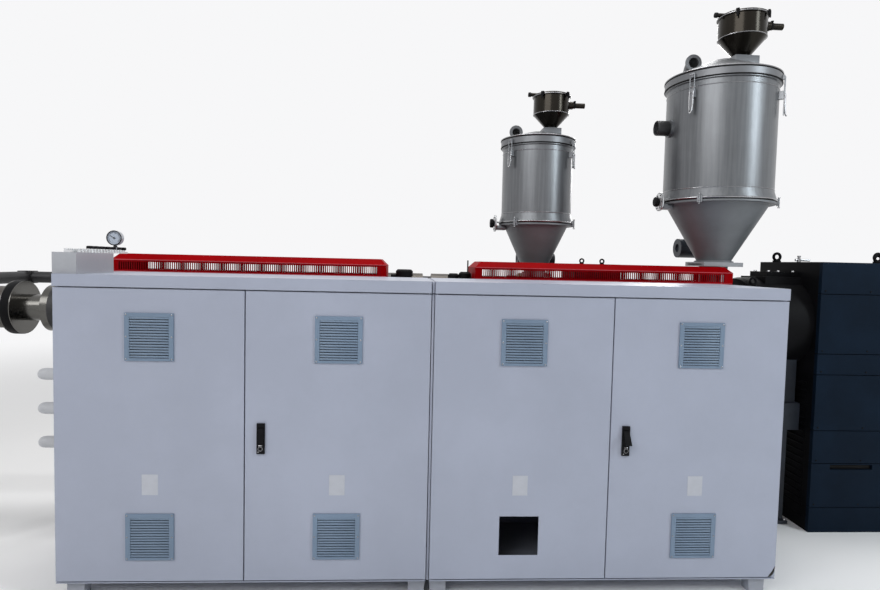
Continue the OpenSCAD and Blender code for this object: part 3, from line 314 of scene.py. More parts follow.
def feed(tree, value, socket):
    """Links another node's output to an input, or sets the input to a plain value."""
    if isinstance(value, bpy.types.NodeSocket):
        tree.links.new(value, socket)
    else:
        socket.default_value = value


def noise(tree, vector, scale, detail=2.0, roughness=0.5):
    """A noise texture read at a vector."""
    node = tree.nodes.new("ShaderNodeTexNoise")
    node.inputs["Scale"].default_value = scale
    node.inputs["Detail"].default_value = detail
    node.inputs["Roughness"].default_value = roughness
    tree.links.new(vector, node.inputs["Vector"])
    return node.outputs["Fac"]


def remap(tree, value, low, high, start=0.0, stop=1.0, kind="LINEAR"):
    """Turns the range low to high into start to stop, held at both ends."""
    node = tree.nodes.new("ShaderNodeMapRange")
    node.interpolation_type = kind
    for name, number in (("From Min", low), ("From Max", high), ("To Min", start), ("To Max", stop)):
        node.inputs[name].default_value = number
    tree.links.new(value, node.inputs["Value"])
    return node.outputs["Result"]


def ramp(tree, value, stops):
    """A colour ramp through grey or coloured stops, given as place and colour."""
    node = tree.nodes.new("ShaderNodeValToRGB")
    elements = node.color_ramp.elements
    while len(elements) < len(stops):
        elements.new(0.5)
    for element, (place, color) in zip(elements, stops):
        element.position = place
        element.color = (*color, 1)
    tree.links.new(value, node.inputs["Fac"])
    return node.outputs["Color"]


def mixed(tree, first, second, factor, kind="MIX"):
    """Two colours blended by a factor."""
    node = tree.nodes.new("ShaderNodeMix")
    node.data_type = "RGBA"
    node.blend_type = kind
    for value, index in ((factor, 0), (first, 6), (second, 7)):
        feed(tree, value, node.inputs[index])
    return node.outputs[2]


def material(name, color, rough, metal=0.0, coat=0.0, spots=0.04, scale=6.0, stretch=(1, 1, 1),
             bump=0.0, bump_scale=120.0, dark=0.0, edge=0.0, spec=0.5):
    """A principled surface whose looks drift with noise in object space.

    The colour and the roughness drift with a noise of the given scale and stretch, the colour by plus or
    minus the share spots. Wide patches of grime take away up to the share dark. bump is the strength of a
    fine relief 1 mm deep, and edge is the radius in metres at which edges catch light.
    """
    mat = bpy.data.materials.new(name)
    mat.use_nodes = True
    tree = mat.node_tree
    new, link = tree.nodes.new, tree.links.new
    bsdf = tree.nodes["Principled BSDF"]
    bsdf.inputs["Metallic"].default_value = metal
    bsdf.inputs["Coat Weight"].default_value = coat
    bsdf.inputs["Coat Roughness"].default_value = 0.12
    bsdf.inputs["Specular IOR Level"].default_value = spec
    place = new("ShaderNodeTexCoord").outputs["Object"]
    mapping = new("ShaderNodeMapping")
    mapping.inputs["Scale"].default_value = stretch
    link(place, mapping.inputs["Vector"])
    vector = mapping.outputs["Vector"]
    drift = noise(tree, vector, scale, detail=6.0)
    low, high = np.array(color) * (1 - spots), np.clip(np.array(color) * (1 + spots), 0, 1)
    shade = mixed(tree, (*low, 1), (*high, 1), remap(tree, drift, 0.3, 0.7))
    if dark:
        grime = noise(tree, place, 2.3, detail=9.0, roughness=0.7)
        patches = ramp(tree, grime, [(0.42, (1 - dark,) * 3), (0.62, (1, 1, 1))])
        shade = mixed(tree, shade, patches, 1.0, "MULTIPLY")
    link(shade, bsdf.inputs["Base Color"])
    gloss = remap(tree, drift, 0.0, 1.0, max(rough - 0.06, 0.03), rough + 0.08)
    link(gloss, bsdf.inputs["Roughness"])
    normal = None
    if edge:
        bevel = new("ShaderNodeBevel")
        bevel.samples = 4
        bevel.inputs["Radius"].default_value = edge
        normal = bevel.outputs["Normal"]
    if bump:
        relief = new("ShaderNodeBump")
        relief.inputs["Strength"].default_value = bump
        relief.inputs["Distance"].default_value = 0.001
        link(noise(tree, vector, bump_scale), relief.inputs["Height"])
        if normal:
            link(normal, relief.inputs["Normal"])
        normal = relief.outputs["Normal"]
    if normal:
        link(normal, bsdf.inputs["Normal"])
    return mat


# Colours are linear and the roughness comes next
white = material("cabinet_paint", (0.355, 0.382, 0.47), 0.36, coat=0.05, spots=0.03, scale=2.0,
                 bump=0.05, bump_scale=300, dark=0.05, edge=0.003)
foot_white = material("foot_paint", (0.38, 0.40, 0.45), 0.4, spots=0.04, dark=0.25, edge=0.002)
vent_grey = material("vent_plastic", (0.168, 0.234, 0.325), 0.42, spots=0.04, dark=0.12, edge=0.0008)
filter_grey = material("filter_mat", (0.15, 0.18, 0.21), 0.8, spots=0.12, scale=60, bump=0.3)
black_plastic = material("black_plastic", (0.005, 0.005, 0.006), 0.58, spec=0.1, spots=0.3, scale=30,
                         edge=0.001)
rubber = material("rubber", (0.006, 0.006, 0.006), 0.7, spec=0.15, spots=0.2, scale=40)
red = material("red_paint", (0.285, 0.0003, 0.002), 0.48, spec=0.02, spots=0.07, scale=3, dark=0.16,
               edge=0.002)
red_strip = material("red_grille", (0.27, 0.001, 0.004), 0.46, spec=0.03, spots=0.08, scale=8, dark=0.15)
# The lighter pink red of the guards' folded edges is a painted highlight
red_fold_highlight = material("red_fold_highlight", (0.42, 0.05, 0.065), 0.4, spec=0.2, spots=0.1, scale=8)
steel = material("brushed_steel", (0.150, 0.157, 0.166), 0.32, metal=0.65, spots=0.14, scale=5,
                 stretch=(14, 14, 0.6), bump=0.12, bump_scale=60, dark=0.10)
lid_steel = material("lid_steel", (0.165, 0.17, 0.18), 0.38, metal=0.6, spots=0.07, scale=7,
                     bump=0.05, bump_scale=200, dark=0.08)
cone_steel = material("matte_cone", (0.175, 0.185, 0.196), 0.5, metal=0.4, spots=0.07, scale=4,
                      stretch=(1, 1, 4), bump=0.10, bump_scale=160, dark=0.12)
polished = material("polished_steel", (0.115, 0.112, 0.105), 0.2, metal=1.0, spots=0.05, scale=9, dark=0.1)
loader_steel = material("dark_polished_steel", (0.024, 0.021, 0.017), 0.2, metal=0.9, spots=0.08, scale=6,
                        stretch=(10, 10, 0.6), dark=0.2)
bright = material("bright_steel", (0.34, 0.34, 0.35), 0.22, metal=1.0, spots=0.06, scale=20, dark=0.12)
silver = material("silver_fitting", (0.74, 0.75, 0.76), 0.3, metal=0.6, spots=0.05, scale=20, dark=0.1)
pale_steel = material("pale_steel_plate", (0.27, 0.28, 0.295), 0.38, metal=0.5, spots=0.08, scale=8,
                      dark=0.15, edge=0.001)
grey_sheet = material("grey_sheet", (0.20, 0.21, 0.225), 0.42, metal=0.2, spots=0.07, scale=9, dark=0.12,
                      edge=0.001)
black_paint = material("black_paint", (0.005, 0.005, 0.006), 0.55, spec=0.07, spots=0.25, scale=9,
                       bump=0.08, bump_scale=90, dark=0.3, edge=0.003)
navy = material("navy_paint", (0.005, 0.0118, 0.0235), 0.5, spec=0.05, spots=0.15, scale=4, dark=0.2,
                edge=0.002)
frame_paint = material("frame_paint", (0.025, 0.032, 0.045), 0.48, spots=0.2, scale=7, bump=0.1, dark=0.4,
                       edge=0.003)
iron = material("dark_iron", (0.035, 0.035, 0.037), 0.5, metal=0.6, spots=0.25, scale=14, bump=0.2, dark=0.3)
heater = material("heater_steel", (0.10, 0.09, 0.08), 0.45, metal=0.6, spots=0.15, scale=10, dark=0.35)
zinc = material("zinc_plate", (0.44, 0.39, 0.24), 0.4, metal=0.6, spots=0.08, scale=8, dark=0.15)
gate_green = material("pale_green", (0.30, 0.42, 0.28), 0.42, spots=0.08, scale=12, dark=0.2, edge=0.002)
white_plastic = material("white_plastic", (0.47, 0.48, 0.505), 0.36, spots=0.04, scale=14, dark=0.12,
                         edge=0.001)
gauge_blue = material("gauge_face", (0.44, 0.49, 0.57), 0.35, spots=0.04, scale=14)
blue = material("blue_plastic", (0.012, 0.022, 0.20), 0.36, spots=0.1, scale=14, edge=0.001)
trunk_grey = material("trunk_steel", (0.38, 0.39, 0.42), 0.22, coat=0.4, spots=0.05, scale=3, dark=0.12,
                      edge=0.002)
paper = material("blank_label", (0.45, 0.465, 0.51), 0.5, spots=0.04, scale=30)
# Near-black colour that paints the shade of a door's curled-back corner
bent_corner_shade = material("bent_corner_painted_shade", (0.022, 0.02, 0.018), 0.6, metal=0.3, spots=0.5, scale=60, bump=0.3)
mark = material("printed_mark", (0.012, 0.012, 0.012), 0.5, spots=0.1)

LOOK = {
    white: ["cabinet_left_shell", "cabinet_right_shell", "door_1", "door_2", "door_3", "door_4"],
    foot_white: ["cabinet_feet"],
    vent_grey: ["door_1_vents", "door_2_vents", "door_3_vent", "door_4_vents"],
    black_plastic: ["left_lock_plate", "right_lock_plate", "left_lock_lever", "right_lock_lever",
                    "valve_knobs", "port_caps", "loader_clamps"],
    zinc: ["mounting_plates"],
    trunk_grey: ["top_trunking"],
    silver: ["air_manifold"],
    white_plastic: ["pressure_gauge", "plug_connectors"],
    blue: ["plug_sockets"],
    frame_paint: ["base_frame", "machine_legs", "guard_posts", "barrel_supports", "coextruder_frame",
                  "dryer_blowers"],
    iron: ["barrel", "coextruder_barrel"],
    pale_steel: ["feed_throats", "toggle_latches"],
    heater: ["heater_bands"],
    polished: ["die_head"],
    loader_steel: ["large_loader", "small_loader", "loader_lids"],
    red: ["left_guard", "right_guard"],
    red_strip: ["guard_grilles"],
    black_paint: ["gearbox", "drive_housing", "coextruder_drive"],
    navy: ["drive_panels"],
    gate_green: ["large_slide_gate", "small_slide_gate"],
    steel: ["large_drum", "small_drum"],
    cone_steel: ["large_cone", "small_cone", "cone_outlets"],
    lid_steel: ["large_lid", "small_lid"],
}
for mat, names in LOOK.items():
    for name in names:
        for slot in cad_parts[name].material_slots:
            slot.material = mat

# Dryers and loaders

def facing(angle):
    """Unit vectors outward and sideways at an angle in degrees round an upright axis."""
    a = math.radians(angle)
    return np.array([math.cos(a), math.sin(a), 0.0]), np.array([-math.sin(a), math.cos(a), 0.0])


def latch(i, at, angle):
    """A toggle latch's wire loop and its two rivets.

    As turn goes from 0 to pi along the loop, it lies 11 * cos(turn) to the side and the latch's size
    times 70 + 125 * sin(turn) ** 0.6 down, and it leans out by up to 10 mm at its lowest point.
    """
    out, side = facing(angle)
    k = LATCH_SIZE[i]
    base = at + [0, 0, RIM_Z[i]] + out * (DRUM_R[i] + RIM_OUT + 17)
    s = np.linspace(0, 1, 25)
    turn = np.pi * s
    lean = 10 * (1 - np.abs(2 * s - 1)) ** 2
    path = base + (11 * np.cos(turn))[:, None] * side + lean[:, None] * out
    path[:, 2] -= k * (70 + 125 * np.sin(turn) ** 0.6)
    rivets = [base + out * 0.5 - [0, 0, 78 * k], base - out * 5.0 + [0, 0, 21.0]]
    return join(sweep(path, 3.4), studs(rivets, out, 4.5, 3.0))


def clamp_nuts(i, at, angle):
    """A nut under and a nut over one clamp of the ring between drum and cone."""
    foot = at + facing(angle)[0] * (DRUM_R[i] + RIM_OUT + 12.3)
    under, over = foot + [0, 0, RING_Z[i] - 14], foot + [0, 0, RING_Z[i] + 39]
    return join(studs(under, (0, 0, -1), 7, 5), studs(over, UP, 7, 5))


def hose_clamp(i):
    """A worm clamp on the loader's inlet pipe: a turned band, the screw's housing and the screw."""
    x = LOADER_X[i] + LOADER_R[i] + INLET_SHOULDER[i]
    y, z, r = DRYER_Y[i], LOADER_TOP[i] - INLET_DOWN[i], INLET_R[i]
    band = [(r + 0.3, 6), (r + 2.4, 6), (r + 2.4, 18), (r + 0.3, 18)]
    return join(
        lathe(band, (x, y, z), ALONG, 40),
        bars((x + 5, y - 14, z + r + 1), (x + 19, y + 6, z + r + 11), 1.5),
        studs([(x + 12, y - 14, z + r + 6)], FRONT, 4.5, 5),
    )


def exhaust_mesh(i, at):
    """Thin rods across and up the exhaust's mouth, each a chord of its circle."""
    x = at[0] + DRUM_R[i] * EXHAUST_X[i]
    y = at[1] + DRUM_R[i] * EXHAUST_Y[i] - EXHAUST_L[i] + 9
    z = LID_TOP[i] + EXHAUST_UP[i]
    r = EXHAUST_R[i]
    rods = []
    for c in np.linspace(-0.8, 0.8, 7) * r:
        w = math.sqrt(r ** 2 - c ** 2)
        rods.append(rod((x - w, y, z + c), (x + w, y, z + c), 0.8))
        rods.append(rod((x + c, y + 2, z - w), (x + c, y + 2, z + w), 0.8))
    return join(*rods)


for i, size in enumerate(("large", "small")):
    at = np.array([DRYER_X[i], DRYER_Y[i], 0.0])
    beside = np.array([LOADER_X[i], DRYER_Y[i], 0.0])
    rim = DRUM_R[i] + RIM_OUT
    # Black rubber gaskets at the rim, the lid's edge and the ring: partly real seals, and partly painted
    # shade in the dark lines under the lid and the collar
    piece(f"{size}_gaskets_and_shade_lines", rings(at, [
        (rim - 1.0, 3.6, RIM_Z[i] + 3),
        (rim - 0.5, 3.4, LID_EDGE_Z[i] - 9),
        (rim - 0.5, 3.0, RING_Z[i] + 13),
    ]), rubber)
    piece(f"{size}_beads", rings(at, [
        (rim, 3.6, LID_EDGE_Z[i] - 2),
        (rim + 0.5, 5.0, RING_Z[i] + 20),
        (DRUM_R[i] + 0.5, 2.0, RING_Z[i] + 78),
        (DRUM_R[i] + 0.5, 2.0, RIM_Z[i] - 40),
    ]), bright)
    loops = [latch(i, at, angle) for angle in LATCH_ANGLES]
    nuts = [clamp_nuts(i, at, angle) for angle in CLAMP_ANGLES]
    piece(f"{size}_latch_loops", join(*loops), bright)
    piece(f"{size}_clamp_nuts", join(*nuts), bright)
    piece(f"{size}_loader_beads", rings(beside, [
        (LOADER_R[i], 2.4, LOADER_CONE_Z[i]),
        (LOADER_R[i] + 7, 2.8, LOADER_TOP[i] - 1),
        (LOADER_NECK_R[i], 2.4, LOADER_BASE_Z[i] + 3),
    ]), bright)
    piece(f"{size}_hose_clamp", hose_clamp(i), rubber)
    # A rubber cap closes the short pipe on the loader's other side
    cap = [(TIP, -3), (13.5, -2), (15, 1), (15, 14), (12.3, 16)]
    cap_at = beside + [-LOADER_R[i] - 37, 0, LOADER_TOP[i] + 13]
    piece(f"{size}_spigot_cap", lathe(cap, cap_at, ALONG, 32), rubber)
    half = LOADER_BOX_HALF[i] + 0.8
    piece(f"{size}_loader_box", bars(
        beside + [-half, -half, LOADER_BOX_FOOT[i]], beside + [half, half, LOADER_BASE_Z[i] - 0.5], 1.2,
    ), grey_sheet)
    # The air disc beside the ring: a lobed knob with screws, a bright face and a folded bracket
    disc = at + [-rim - 30, 0, RING_Z[i] + 13]
    knob = [(TIP, 34), (24, 33), (28, 29), (28, 12), (14, 5)]
    face = [(14, 5.2), (50, 5.2), (54.8, 3), (54.8, -3), (50, -5.2), (14, -5.2)]
    piece(f"{size}_disc_knob", join(
        lathe(knob, disc, (-1, 0, 0), 48, ripple=0.04, lobes=12),
        studs(circle_places(disc[0] - 5, disc[1], disc[2], 42, 6), (-1, 0, 0), 4, 3),
    ), black_plastic)
    piece(f"{size}_disc_face", lathe(face, disc, (-1, 0, 0), 64), silver)
    piece(f"{size}_disc_bracket", bars(
        (disc[0] + 8, at[1] - 35, RING_Z[i] - 30), (at[0] - DRUM_R[i] + 26, at[1] + 35, RING_Z[i] - 1.5), 2,
    ), grey_sheet)
    piece(f"{size}_exhaust_mesh", exhaust_mesh(i, at), iron)

# The large drum's air stub: a sleeve, a rounded mouth and level rods across it
stub = np.array([DRYER_X[0] - DRUM_R[0] - STUB_L, BARREL_Y, RIM_Z[0] - STUB_DOWN])
chords = [(c, math.sqrt(37 ** 2 - c * c)) for c in np.linspace(-32, 32, 9)]
piece("stub_mesh", join(
    lathe([(42.4, 1), (43.6, 3), (43.6, 68), (42.4, 70)], stub, ALONG, 64),
    torus(39.5, 2.6, stub, ALONG, 48),
    *[rod(stub + [6, -w, c], stub + [6, w, c], 1.0) for c, w in chords],
), iron)

# Cabinets: vents, blank labels, lock trim with a bar that paints a highlight, the joint's cover strips and
# the bent corner with a dark lip that paints its shade
for k in range(4):
    body = f"door_{k + 1}"
    cx = DOOR_X[k] + DOOR_W / 2
    vents = VENT_Z[1:] if k == OPEN_DOOR else VENT_Z
    screws = [(cx + dx, -6, z + dz) for z in vents for dx, dz in VENT_SCREWS]
    piece(f"vent_screws_{k + 1}", studs(screws, FRONT, 3.2, 1.6, 16), bright, body)
    piece(f"vent_filter_{k + 1}", bars(
        [(cx - 80, 11, z - 80) for z in vents], [(cx + 80, 12.5, z + 84) for z in vents], 0.5,
    ), filter_grey, body)
    # A thin lip on each blade's front edge, 0.35 of a pitch up from the blade's place
    lips = np.array([(cx - 81.5, -5.2, z - VENT_FOOT + (n + 0.35) * VENT_PITCH - 1.5)
                     for z in vents for n in range(VENT_BLADES)])
    piece(f"vent_lips_{k + 1}", bars(lips, lips + [163, 1.6, 8.4], 0.5), vent_grey, body)
    piece(f"blank_label_{k + 1}", bars(
        (cx - LABEL_HALF, -0.9, LABEL_Z[0]), (cx + LABEL_HALF, 0.2, LABEL_Z[1]), 0.35,
    ), paper, body, smooth=False)
for name, body, plate, x in LOCKS:
    piece(name, join(
        torus(9.4, 1.0, (x, -14.2, LOCK_Z), BACK, 32, 8),
        studs([(x - 10, -9, LOCK_Z - 15.5)], FRONT, 2.6, 1.4, 16),
        # A bright steel bar over the ring paints the highlight on the top of the key cylinder
        bars((x - 9, -13.2, LOCK_Z + 11.5), (x + 9, -9.2, LOCK_Z + 15.5), 0.8),
    ), bright, body)
piece("joint_strip", bars(STRIP_LOW, STRIP_HIGH, 0.6), white)


def bent_corner(x, z):
    """A thin bent sheet in a door's cut-off corner. Uncut, the corner would be at (x, z).

    At s along the straight cut and t out from it, the place is (1 - t) of the cut's point and t of a
    quadratic curve through start, bend and end, and it comes forward by 1.1 * sin(t * pi / 2).
    """
    s, t = np.meshgrid(np.linspace(0, 1, 16), np.linspace(0, 1, 12), indexing="ij")
    s, t = s[..., None], t[..., None]
    start, bend, end = np.array([-34.0, 0.6]), np.array([-1.0, 2.0]), np.array([-0.2, 53.0])
    cut = np.concatenate([-34 * (1 - s), 53 * s], axis=-1)
    curve = (1 - s) ** 2 * start + 2 * s * (1 - s) * bend + s ** 2 * end
    flat = cut + t * (curve - cut)
    depth = 0.7 - 1.1 * np.sin(t * np.pi / 2)
    front = np.concatenate([x + flat[..., :1], depth, z + flat[..., 1:]], axis=-1)
    behind = (front + [0.0, 0.8, 0.0])[:, ::-1]
    return grid(np.concatenate([front, behind], axis=1), wrap_v=True)


# The lip's near-black colour paints the shade in the curled-back corner
piece("bent_corner_lip", bent_corner(DOOR_X[3] + DOOR_W, DOOR_FOOT), bent_corner_shade, "door_4")

# Air valves: lobed knobs, turned fittings in two rows, and the gauge's rim, face, ticks and pointer
knob = [(TIP, 0), (13.2, 0), (14.6, 2), (14.6, 10.5), (12.0, 14), (TIP, 14.6)]
piece("ribbed_knobs", join(*[
    lathe(knob, (VALVE_X, y, TRUNK_TOP + 17), n=72, ripple=0.03, lobes=12)
    for y in VALVE_Y + VALVE_STEP * np.arange(VALVES)
]), black_plastic, replaces="valve_knobs")
fitting = [(TIP, 0), (8.5, 0), (8.5, 6), (6.5, 7), (6.5, 11), (8, 12), (8, 16), (4, 17.5), (4, 13),
           (TIP, 13)]
piece("air_fittings", join(*[
    lathe(fitting, (VALVE_X + dx, y, TRUNK_TOP), n=24)
    for dx, first in ((-22, 75), (22, 95)) for y in np.arange(first, 480, 27)
]), silver)
gauge = np.array([VALVE_X, VALVE_Y + 4.5 * VALVE_STEP - 14, TRUNK_TOP + 76])
piece("gauge_rim", join(
    torus(34.5, 2.6, gauge, BACK, 64),
    lathe([(9, -28), (9, -20), (6, -18)], gauge + [0, 14, -18], n=6),
), iron)
face = [(TIP, 0), (31.6, 0), (31.6, 1)]
piece("gauge_face", lathe(face, gauge + [0, 2.4, 0], FRONT, 64), gauge_blue)


def on_dial(degrees):
    """The direction from the dial's middle at an angle clockwise from the top."""
    a = math.radians(degrees)
    return np.array([math.sin(a), 0, math.cos(a)])


dial = gauge + [0, 0.8, 0]
ticks = [rod(dial + on_dial(a) * 24, dial + on_dial(a) * 29, 0.6) for a in np.linspace(-135, 135, 28)]
hand = on_dial(-60)
piece("gauge_marks", join(
    *ticks,
    sweep([dial - hand * 8, dial, dial + hand * 22], 1.0, 8),
    lathe([(TIP, 2), (4, 1.5), (4, 0)], dial, FRONT, 24),
), mark)

# Plugs: turned bodies with rounded ends and grip rings
plug = [(TIP, 108), (12, 107), (19, 102), (24, 92), (26, 78), (26, 40), (27.5, 38), (27.5, 14), (26, 12),
        (26, 0)]
piece("turned_plugs", join(*[lathe(plug, (*PLUG_AT, z), (-1, 0, 0), 48) for z in PLUG_Z]),
      white_plastic, replaces="plug_connectors")

# Guards: screws along both skirts, and rods along the folded edges over and under the slots whose lighter
# pink red paints the highlight on those edges
for x, name in zip(GUARD_X, ("left_guard", "right_guard")):
    xs = x + np.linspace(0.04, 0.96, 9) * GUARD_L
    near, far = GUARD_Y[0] - 0.1, GUARD_Y[1] + 0.1
    piece(f"{name}_screws", join(
        studs([(a, near, GUARD_SCREW_Z) for a in xs], FRONT, 5, 3, 6),
        studs([(a, far, GUARD_SCREW_Z) for a in xs], BACK, 5, 3, 6),
    ), bright)
    piece(f"{name}_fold_highlights", join(*[
        rod((x + 2, y, z), (x + GUARD_L - 2, y, z), 2.6, 8) for y in GUARD_Y for z in GUARD_FOLD_Z
    ]), red_fold_highlight)

# Heater bands: terminal boxes, clamp screws and seams
bands = [FIRST_BAND_X] + [GUARD_X[0] + 30 + BAND_PITCH * k for k in range(6)]
bands += [GUARD_X[1] + 30 + BAND_PITCH * k for k in range(5)]
boxes = np.array([(x + 55, BARREL_Y - 22, BARREL_Z + 116) for x in bands])
piece("terminal_boxes", bars(boxes, boxes + [60, 44, 34], 3), grey_sheet)
screws = [(x + d, BARREL_Y - 122, BARREL_Z) for x in bands for d in (20, 150)]
piece("band_screws", studs(screws, FRONT, 7, 6), bright)
piece("band_seams", join(*[
    torus(121.5, 2.2, (x + d, BARREL_Y, BARREL_Z), ALONG, 64, 6) for x in bands for d in (1.5, 85, 168.5)
]), heater)

# Die: bolts in the clamp ring and round the barrel's flange, the ring itself and two heater bands
piece("die_bolts", join(
    studs(circle_places(CLAMP_RING_X, BARREL_Y, BARREL_Z, 133, 8, 0.5), (-1, 0, 0), 11, 12),
    studs(circle_places(BARREL_FLANGE_X, BARREL_Y, BARREL_Z, 112, 8, 0.5), ALONG, 9, 10),
), iron)
ring = [(117, 2), (149, 2), (152.5, 8), (152.5, 50), (149, 54), (76, 54)]
piece("clamp_ring", lathe(ring, (CLAMP_RING_X, BARREL_Y, BARREL_Z), ALONG, 96), black_paint)
band = [(115.3, 0), (119, 2), (119, 88), (115.3, 90)]
piece("die_bands", join(*[lathe(band, (x, BARREL_Y, BARREL_Z), ALONG, 96) for x in DIE_BAND_X]),
      heater)

# Drive: panel screws, a dark slot, side louvres, the fitting on top and the gearbox's bolts
screws = [(x, DRIVE_Y, z + 18) for x in PANEL_SCREW_X for z in PANEL_SEAM_Z]
piece("panel_screws", studs(screws, FRONT, 5, 2.5), black_paint)
# The black bar sits behind the panel face and paints the shade inside the slot
piece("panel_slot", bars(
    (PANEL_SLOT_X[0], DRIVE_Y + 14, PANEL_SLOT_Z[0]), (PANEL_SLOT_X[1], DRIVE_Y + 20.5, PANEL_SLOT_Z[1]), 1,
), rubber)
louvres = np.array([(DRIVE_X + 1.5, DRIVE_Y + 90, z) for z in LOUVRE_Z])
piece("side_louvres", bars(louvres, louvres + [7, 410, 14], 2.5), black_paint)
valve = np.array([*FITTING_AT, DRIVE_TOP])
body = [(TIP, 0), (11, 0), (11, 12), (8, 14), (8, 30), (10, 31), (10, 38), (TIP, 38)]
piece("drive_fitting", join(
    lathe(body, valve, n=24),
    studs([valve + [0, 0, 14]], UP, 13, 6),
    lathe([(TIP, -46), (7, -45), (7, 44), (TIP, 45)], valve + [22, 0, 12], ALONG, 24),
), bright)
piece("gear_bolts", join(
    studs(circle_places(GEARBOX_X, BARREL_Y, BARREL_Z, 190, 12), (-1, 0, 0), 10, 9),
    studs([(x, BARREL_Y + y, GEARBOX_TOP) for x in LID_BOLT_X for y in (-70, 70)], UP, 9, 8),
), bright)

# Co-extruder: cooling fins all round its motor, a turned fan cover and heater bands
fins = []
for a in np.arange(40) * TAU / 40:
    d = np.array([0, math.cos(a), math.sin(a)])
    stations = ((MOTOR_X[0] + 25, 152), (sum(MOTOR_X) / 2, 153), (MOTOR_X[1] - 90, 152))
    fins.append(sweep([np.array([x, COEXTRUDER_Y, MOTOR_Z]) + r * d for x, r in stations], 4.5, 6))
piece("motor_fins", join(*fins), black_paint)
cover = [(151, -80), (155, -76), (155, -8), (146, 0.5), (60, 0.8), (TIP, 0.8)]
piece("motor_cover", lathe(cover, (MOTOR_X[1], COEXTRUDER_Y, MOTOR_Z), ALONG, 64), black_paint)
# A band whose middle would come within 90 mm of a barrel support is left out
band = [(60.5, 0), (78, 3), (78, 117), (60.5, 120)]
starts = [x for x in COEXTRUDER_BAND_X if min(abs(x + 60 - s) for s in SUPPORT_X) > 90]
piece("coextruder_bands", join(*[lathe(band, (x, COEXTRUDER_Y, COEXTRUDER_Z), ALONG, 64) for x in starts]),
      heater)

# Inside the cabinets: rails with rows of pale and dark switchgear on the mounting plates
rails, gear, contactors = [], [], []
for x in CABINET_X:
    for row, z in enumerate(RAIL_Z):
        rails.append(((x + 150, RAIL_Y, z - 17), (x + CABINET_W - 150, PLATE_Y, z + 17)))
        step = 54 + 18 * (2 * row % 3)
        depth = 60 + 8 * (row % 2)
        for n, left in enumerate(np.arange(x + 180, x + CABINET_W - 240, step)):
            tall = 42 + 11 * ((3 * n + row) % 3)
            unit = ((left, RAIL_Y - depth, z - tall), (left + step - 6, RAIL_Y + 1, z + tall))
            group = contactors if (n // 4 + row) % 2 else gear
            group.append(unit)
piece("mounting_rails", bars(*zip(*rails), edge=1.5), bright)
piece("switchgear", bars(*zip(*gear), edge=3), white_plastic)
piece("contactors", bars(*zip(*contactors), edge=3), black_plastic)

# Frames: four bolts on each floor plate
bolts = [(x + dx, BARREL_Y + row + dy, 20) for x in FLOOR_PLATE_X for row in (-130, 130)
         for dx in (-58, 58) for dy in (-48, 48)]
piece("floor_bolts", studs(bolts, UP, 9, 10), bright)

# Stage, world and light
PALE = (0.93, 0.93, 0.94, 1)
FLOOR_HALF = 60.0
# Distances in metres from the object's middle between which the floor fades into the backdrop
FADE = (3.5, 10.0)


def seen_directly(tree):
    """One for camera, glossy and transmission rays, zero for all others."""
    path = tree.nodes.new("ShaderNodeLightPath")
    first, both = tree.nodes.new("ShaderNodeMath"), tree.nodes.new("ShaderNodeMath")
    first.operation = both.operation = "MAXIMUM"
    tree.links.new(path.outputs["Is Camera Ray"], first.inputs[0])
    tree.links.new(path.outputs["Is Glossy Ray"], first.inputs[1])
    tree.links.new(first.outputs[0], both.inputs[0])
    tree.links.new(path.outputs["Is Transmission Ray"], both.inputs[1])
    return both.outputs[0]


def choose(tree, first, second, factor, output):
    """Blends two shaders by a factor into an output's surface."""
    node = tree.nodes.new("ShaderNodeMixShader")
    for value, index in ((factor, 0), (first, 1), (second, 2)):
        tree.links.new(value, node.inputs[index])
    tree.links.new(node.outputs["Shader"], output.inputs["Surface"])


floor_mat = material("floor", (0.90, 0.90, 0.90), 0.7, spots=0.01, scale=1.0)
tree = floor_mat.node_tree
distance = tree.nodes.new("ShaderNodeVectorMath")
distance.operation = "LENGTH"
tree.links.new(tree.nodes.new("ShaderNodeTexCoord").outputs["Object"], distance.inputs[0])
share = tree.nodes.new("ShaderNodeMath")
share.operation = "MULTIPLY"
tree.links.new(remap(tree, distance.outputs["Value"], *FADE, kind="SMOOTHSTEP"), share.inputs[0])
tree.links.new(seen_directly(tree), share.inputs[1])
glow = tree.nodes.new("ShaderNodeEmission")
glow.inputs["Color"].default_value = PALE
choose(tree, tree.nodes["Principled BSDF"].outputs["BSDF"], glow.outputs["Emission"], share.outputs[0],
       tree.nodes["Material Output"])
ground = bpy.data.meshes.new("floor")
ground.from_pydata([(x * FLOOR_HALF, y * FLOOR_HALF, 0) for x, y in ((-1, -1), (1, -1), (1, 1), (-1, 1))],
                   [], [(0, 1, 2, 3)])
ground.materials.append(floor_mat)
floor = add("floor", ground)

world = bpy.data.worlds.new("studio")
bpy.context.scene.world = world
world.use_nodes = True
tree = world.node_tree
tree.nodes.clear()
split = tree.nodes.new("ShaderNodeSeparateXYZ")
tree.links.new(tree.nodes.new("ShaderNodeTexCoord").outputs["Generated"], split.inputs["Vector"])
room = tree.nodes.new("ShaderNodeBackground")
room.inputs["Strength"].default_value = 0.42
greys = [(0.0, (0.20, 0.20, 0.21)), (0.30, (0.42, 0.42, 0.44)), (0.75, (1, 1, 1))]
tree.links.new(ramp(tree, split.outputs["Z"], greys), room.inputs["Color"])
backdrop = tree.nodes.new("ShaderNodeBackground")
backdrop.inputs["Color"].default_value = PALE
choose(tree, room.outputs["Background"], backdrop.outputs["Background"], seen_directly(tree),
       tree.nodes.new("ShaderNodeOutputWorld"))


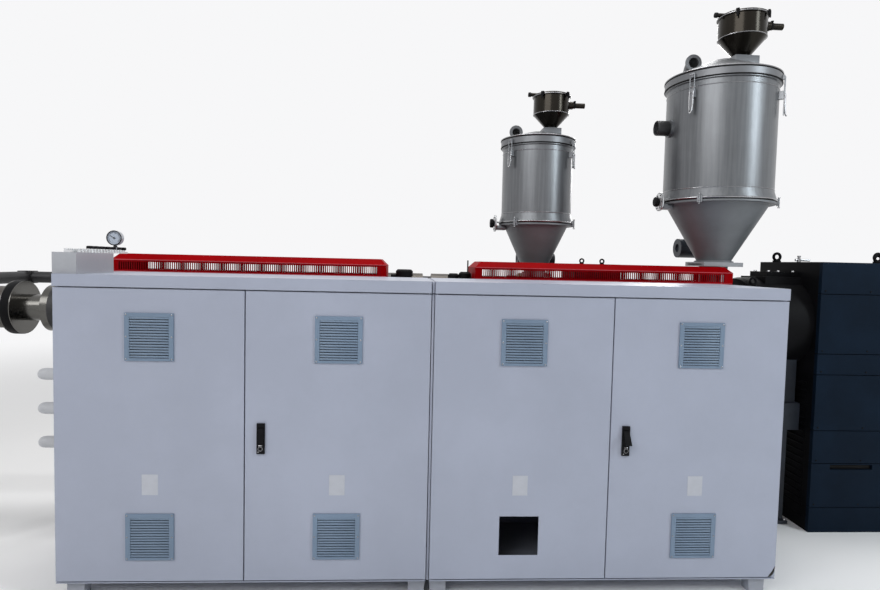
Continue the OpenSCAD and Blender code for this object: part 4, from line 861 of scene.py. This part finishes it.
def placed(obj, axes, at):
    """Gives an object its three unit axes and its place, in metres."""
    matrix = Matrix.Identity(4)
    for row in range(3):
        for column, axis in enumerate(axes):
            matrix[row][column] = axis[row]
        matrix[row][3] = at[row]
    obj.matrix_world = matrix


def softbox(name, at, aim, width, height, power, tint=(1, 1, 1)):
    """An area light at a place, turned to face a point, both in metres."""
    data = bpy.data.lights.new(name, "AREA")
    data.shape = "RECTANGLE"
    data.size, data.size_y = width, height
    data.energy = power
    data.color = tint
    w = np.array(at, float) - np.array(aim, float)
    w /= np.linalg.norm(w)
    u = np.cross(UP, w)
    u /= np.linalg.norm(u)
    placed(add(name, data), (u, np.cross(w, u), w), at)


softbox("key_left", (-4.0, -5.5, 5.4), (0, 0.2, 1.2), 5.5, 3.5, 260)
softbox("fill_right", (5.5, -4.0, 4.2), (0.4, 0.2, 1.4), 1.0, 3.2, 170, (0.86, 0.95, 1.0))
softbox("ceiling", (0.3, 0.6, 6.5), (0.3, 0.5, 0), 5.0, 1.2, 170)
softbox("back_strip", (3.5, 5.0, 4.0), (0.5, 0.5, 1.8), 0.8, 3.0, 80)

# Camera: its place in line-frame mm, angles in degrees and focal length in mm, fitted to the
# photograph's straight edges and round rims
EYE = (-116.74, -2593.23, 1498.6)
YAW, PITCH, ROLL = (math.radians(a) for a in (3.201, 3.1, 1.317))
FOCAL = 24.505
ahead = np.array([math.sin(YAW) * math.cos(PITCH), math.cos(YAW) * math.cos(PITCH), -math.sin(PITCH)])
level = np.array([math.cos(YAW), -math.sin(YAW), 0.0])
upright = np.cross(level, ahead)
right = math.cos(ROLL) * level + math.sin(ROLL) * upright
up = -math.sin(ROLL) * level + math.cos(ROLL) * upright
lens = bpy.data.cameras.new("camera")
lens.lens = FOCAL
lens.sensor_width = 36.0
lens.dof.use_dof = False
lens.clip_end = 200.0
camera = add("camera", lens)
placed(camera, (right, up, -ahead), to_m(EYE))
bpy.context.scene.camera = camera
bpy.context.scene.view_settings.view_transform = "Standard"
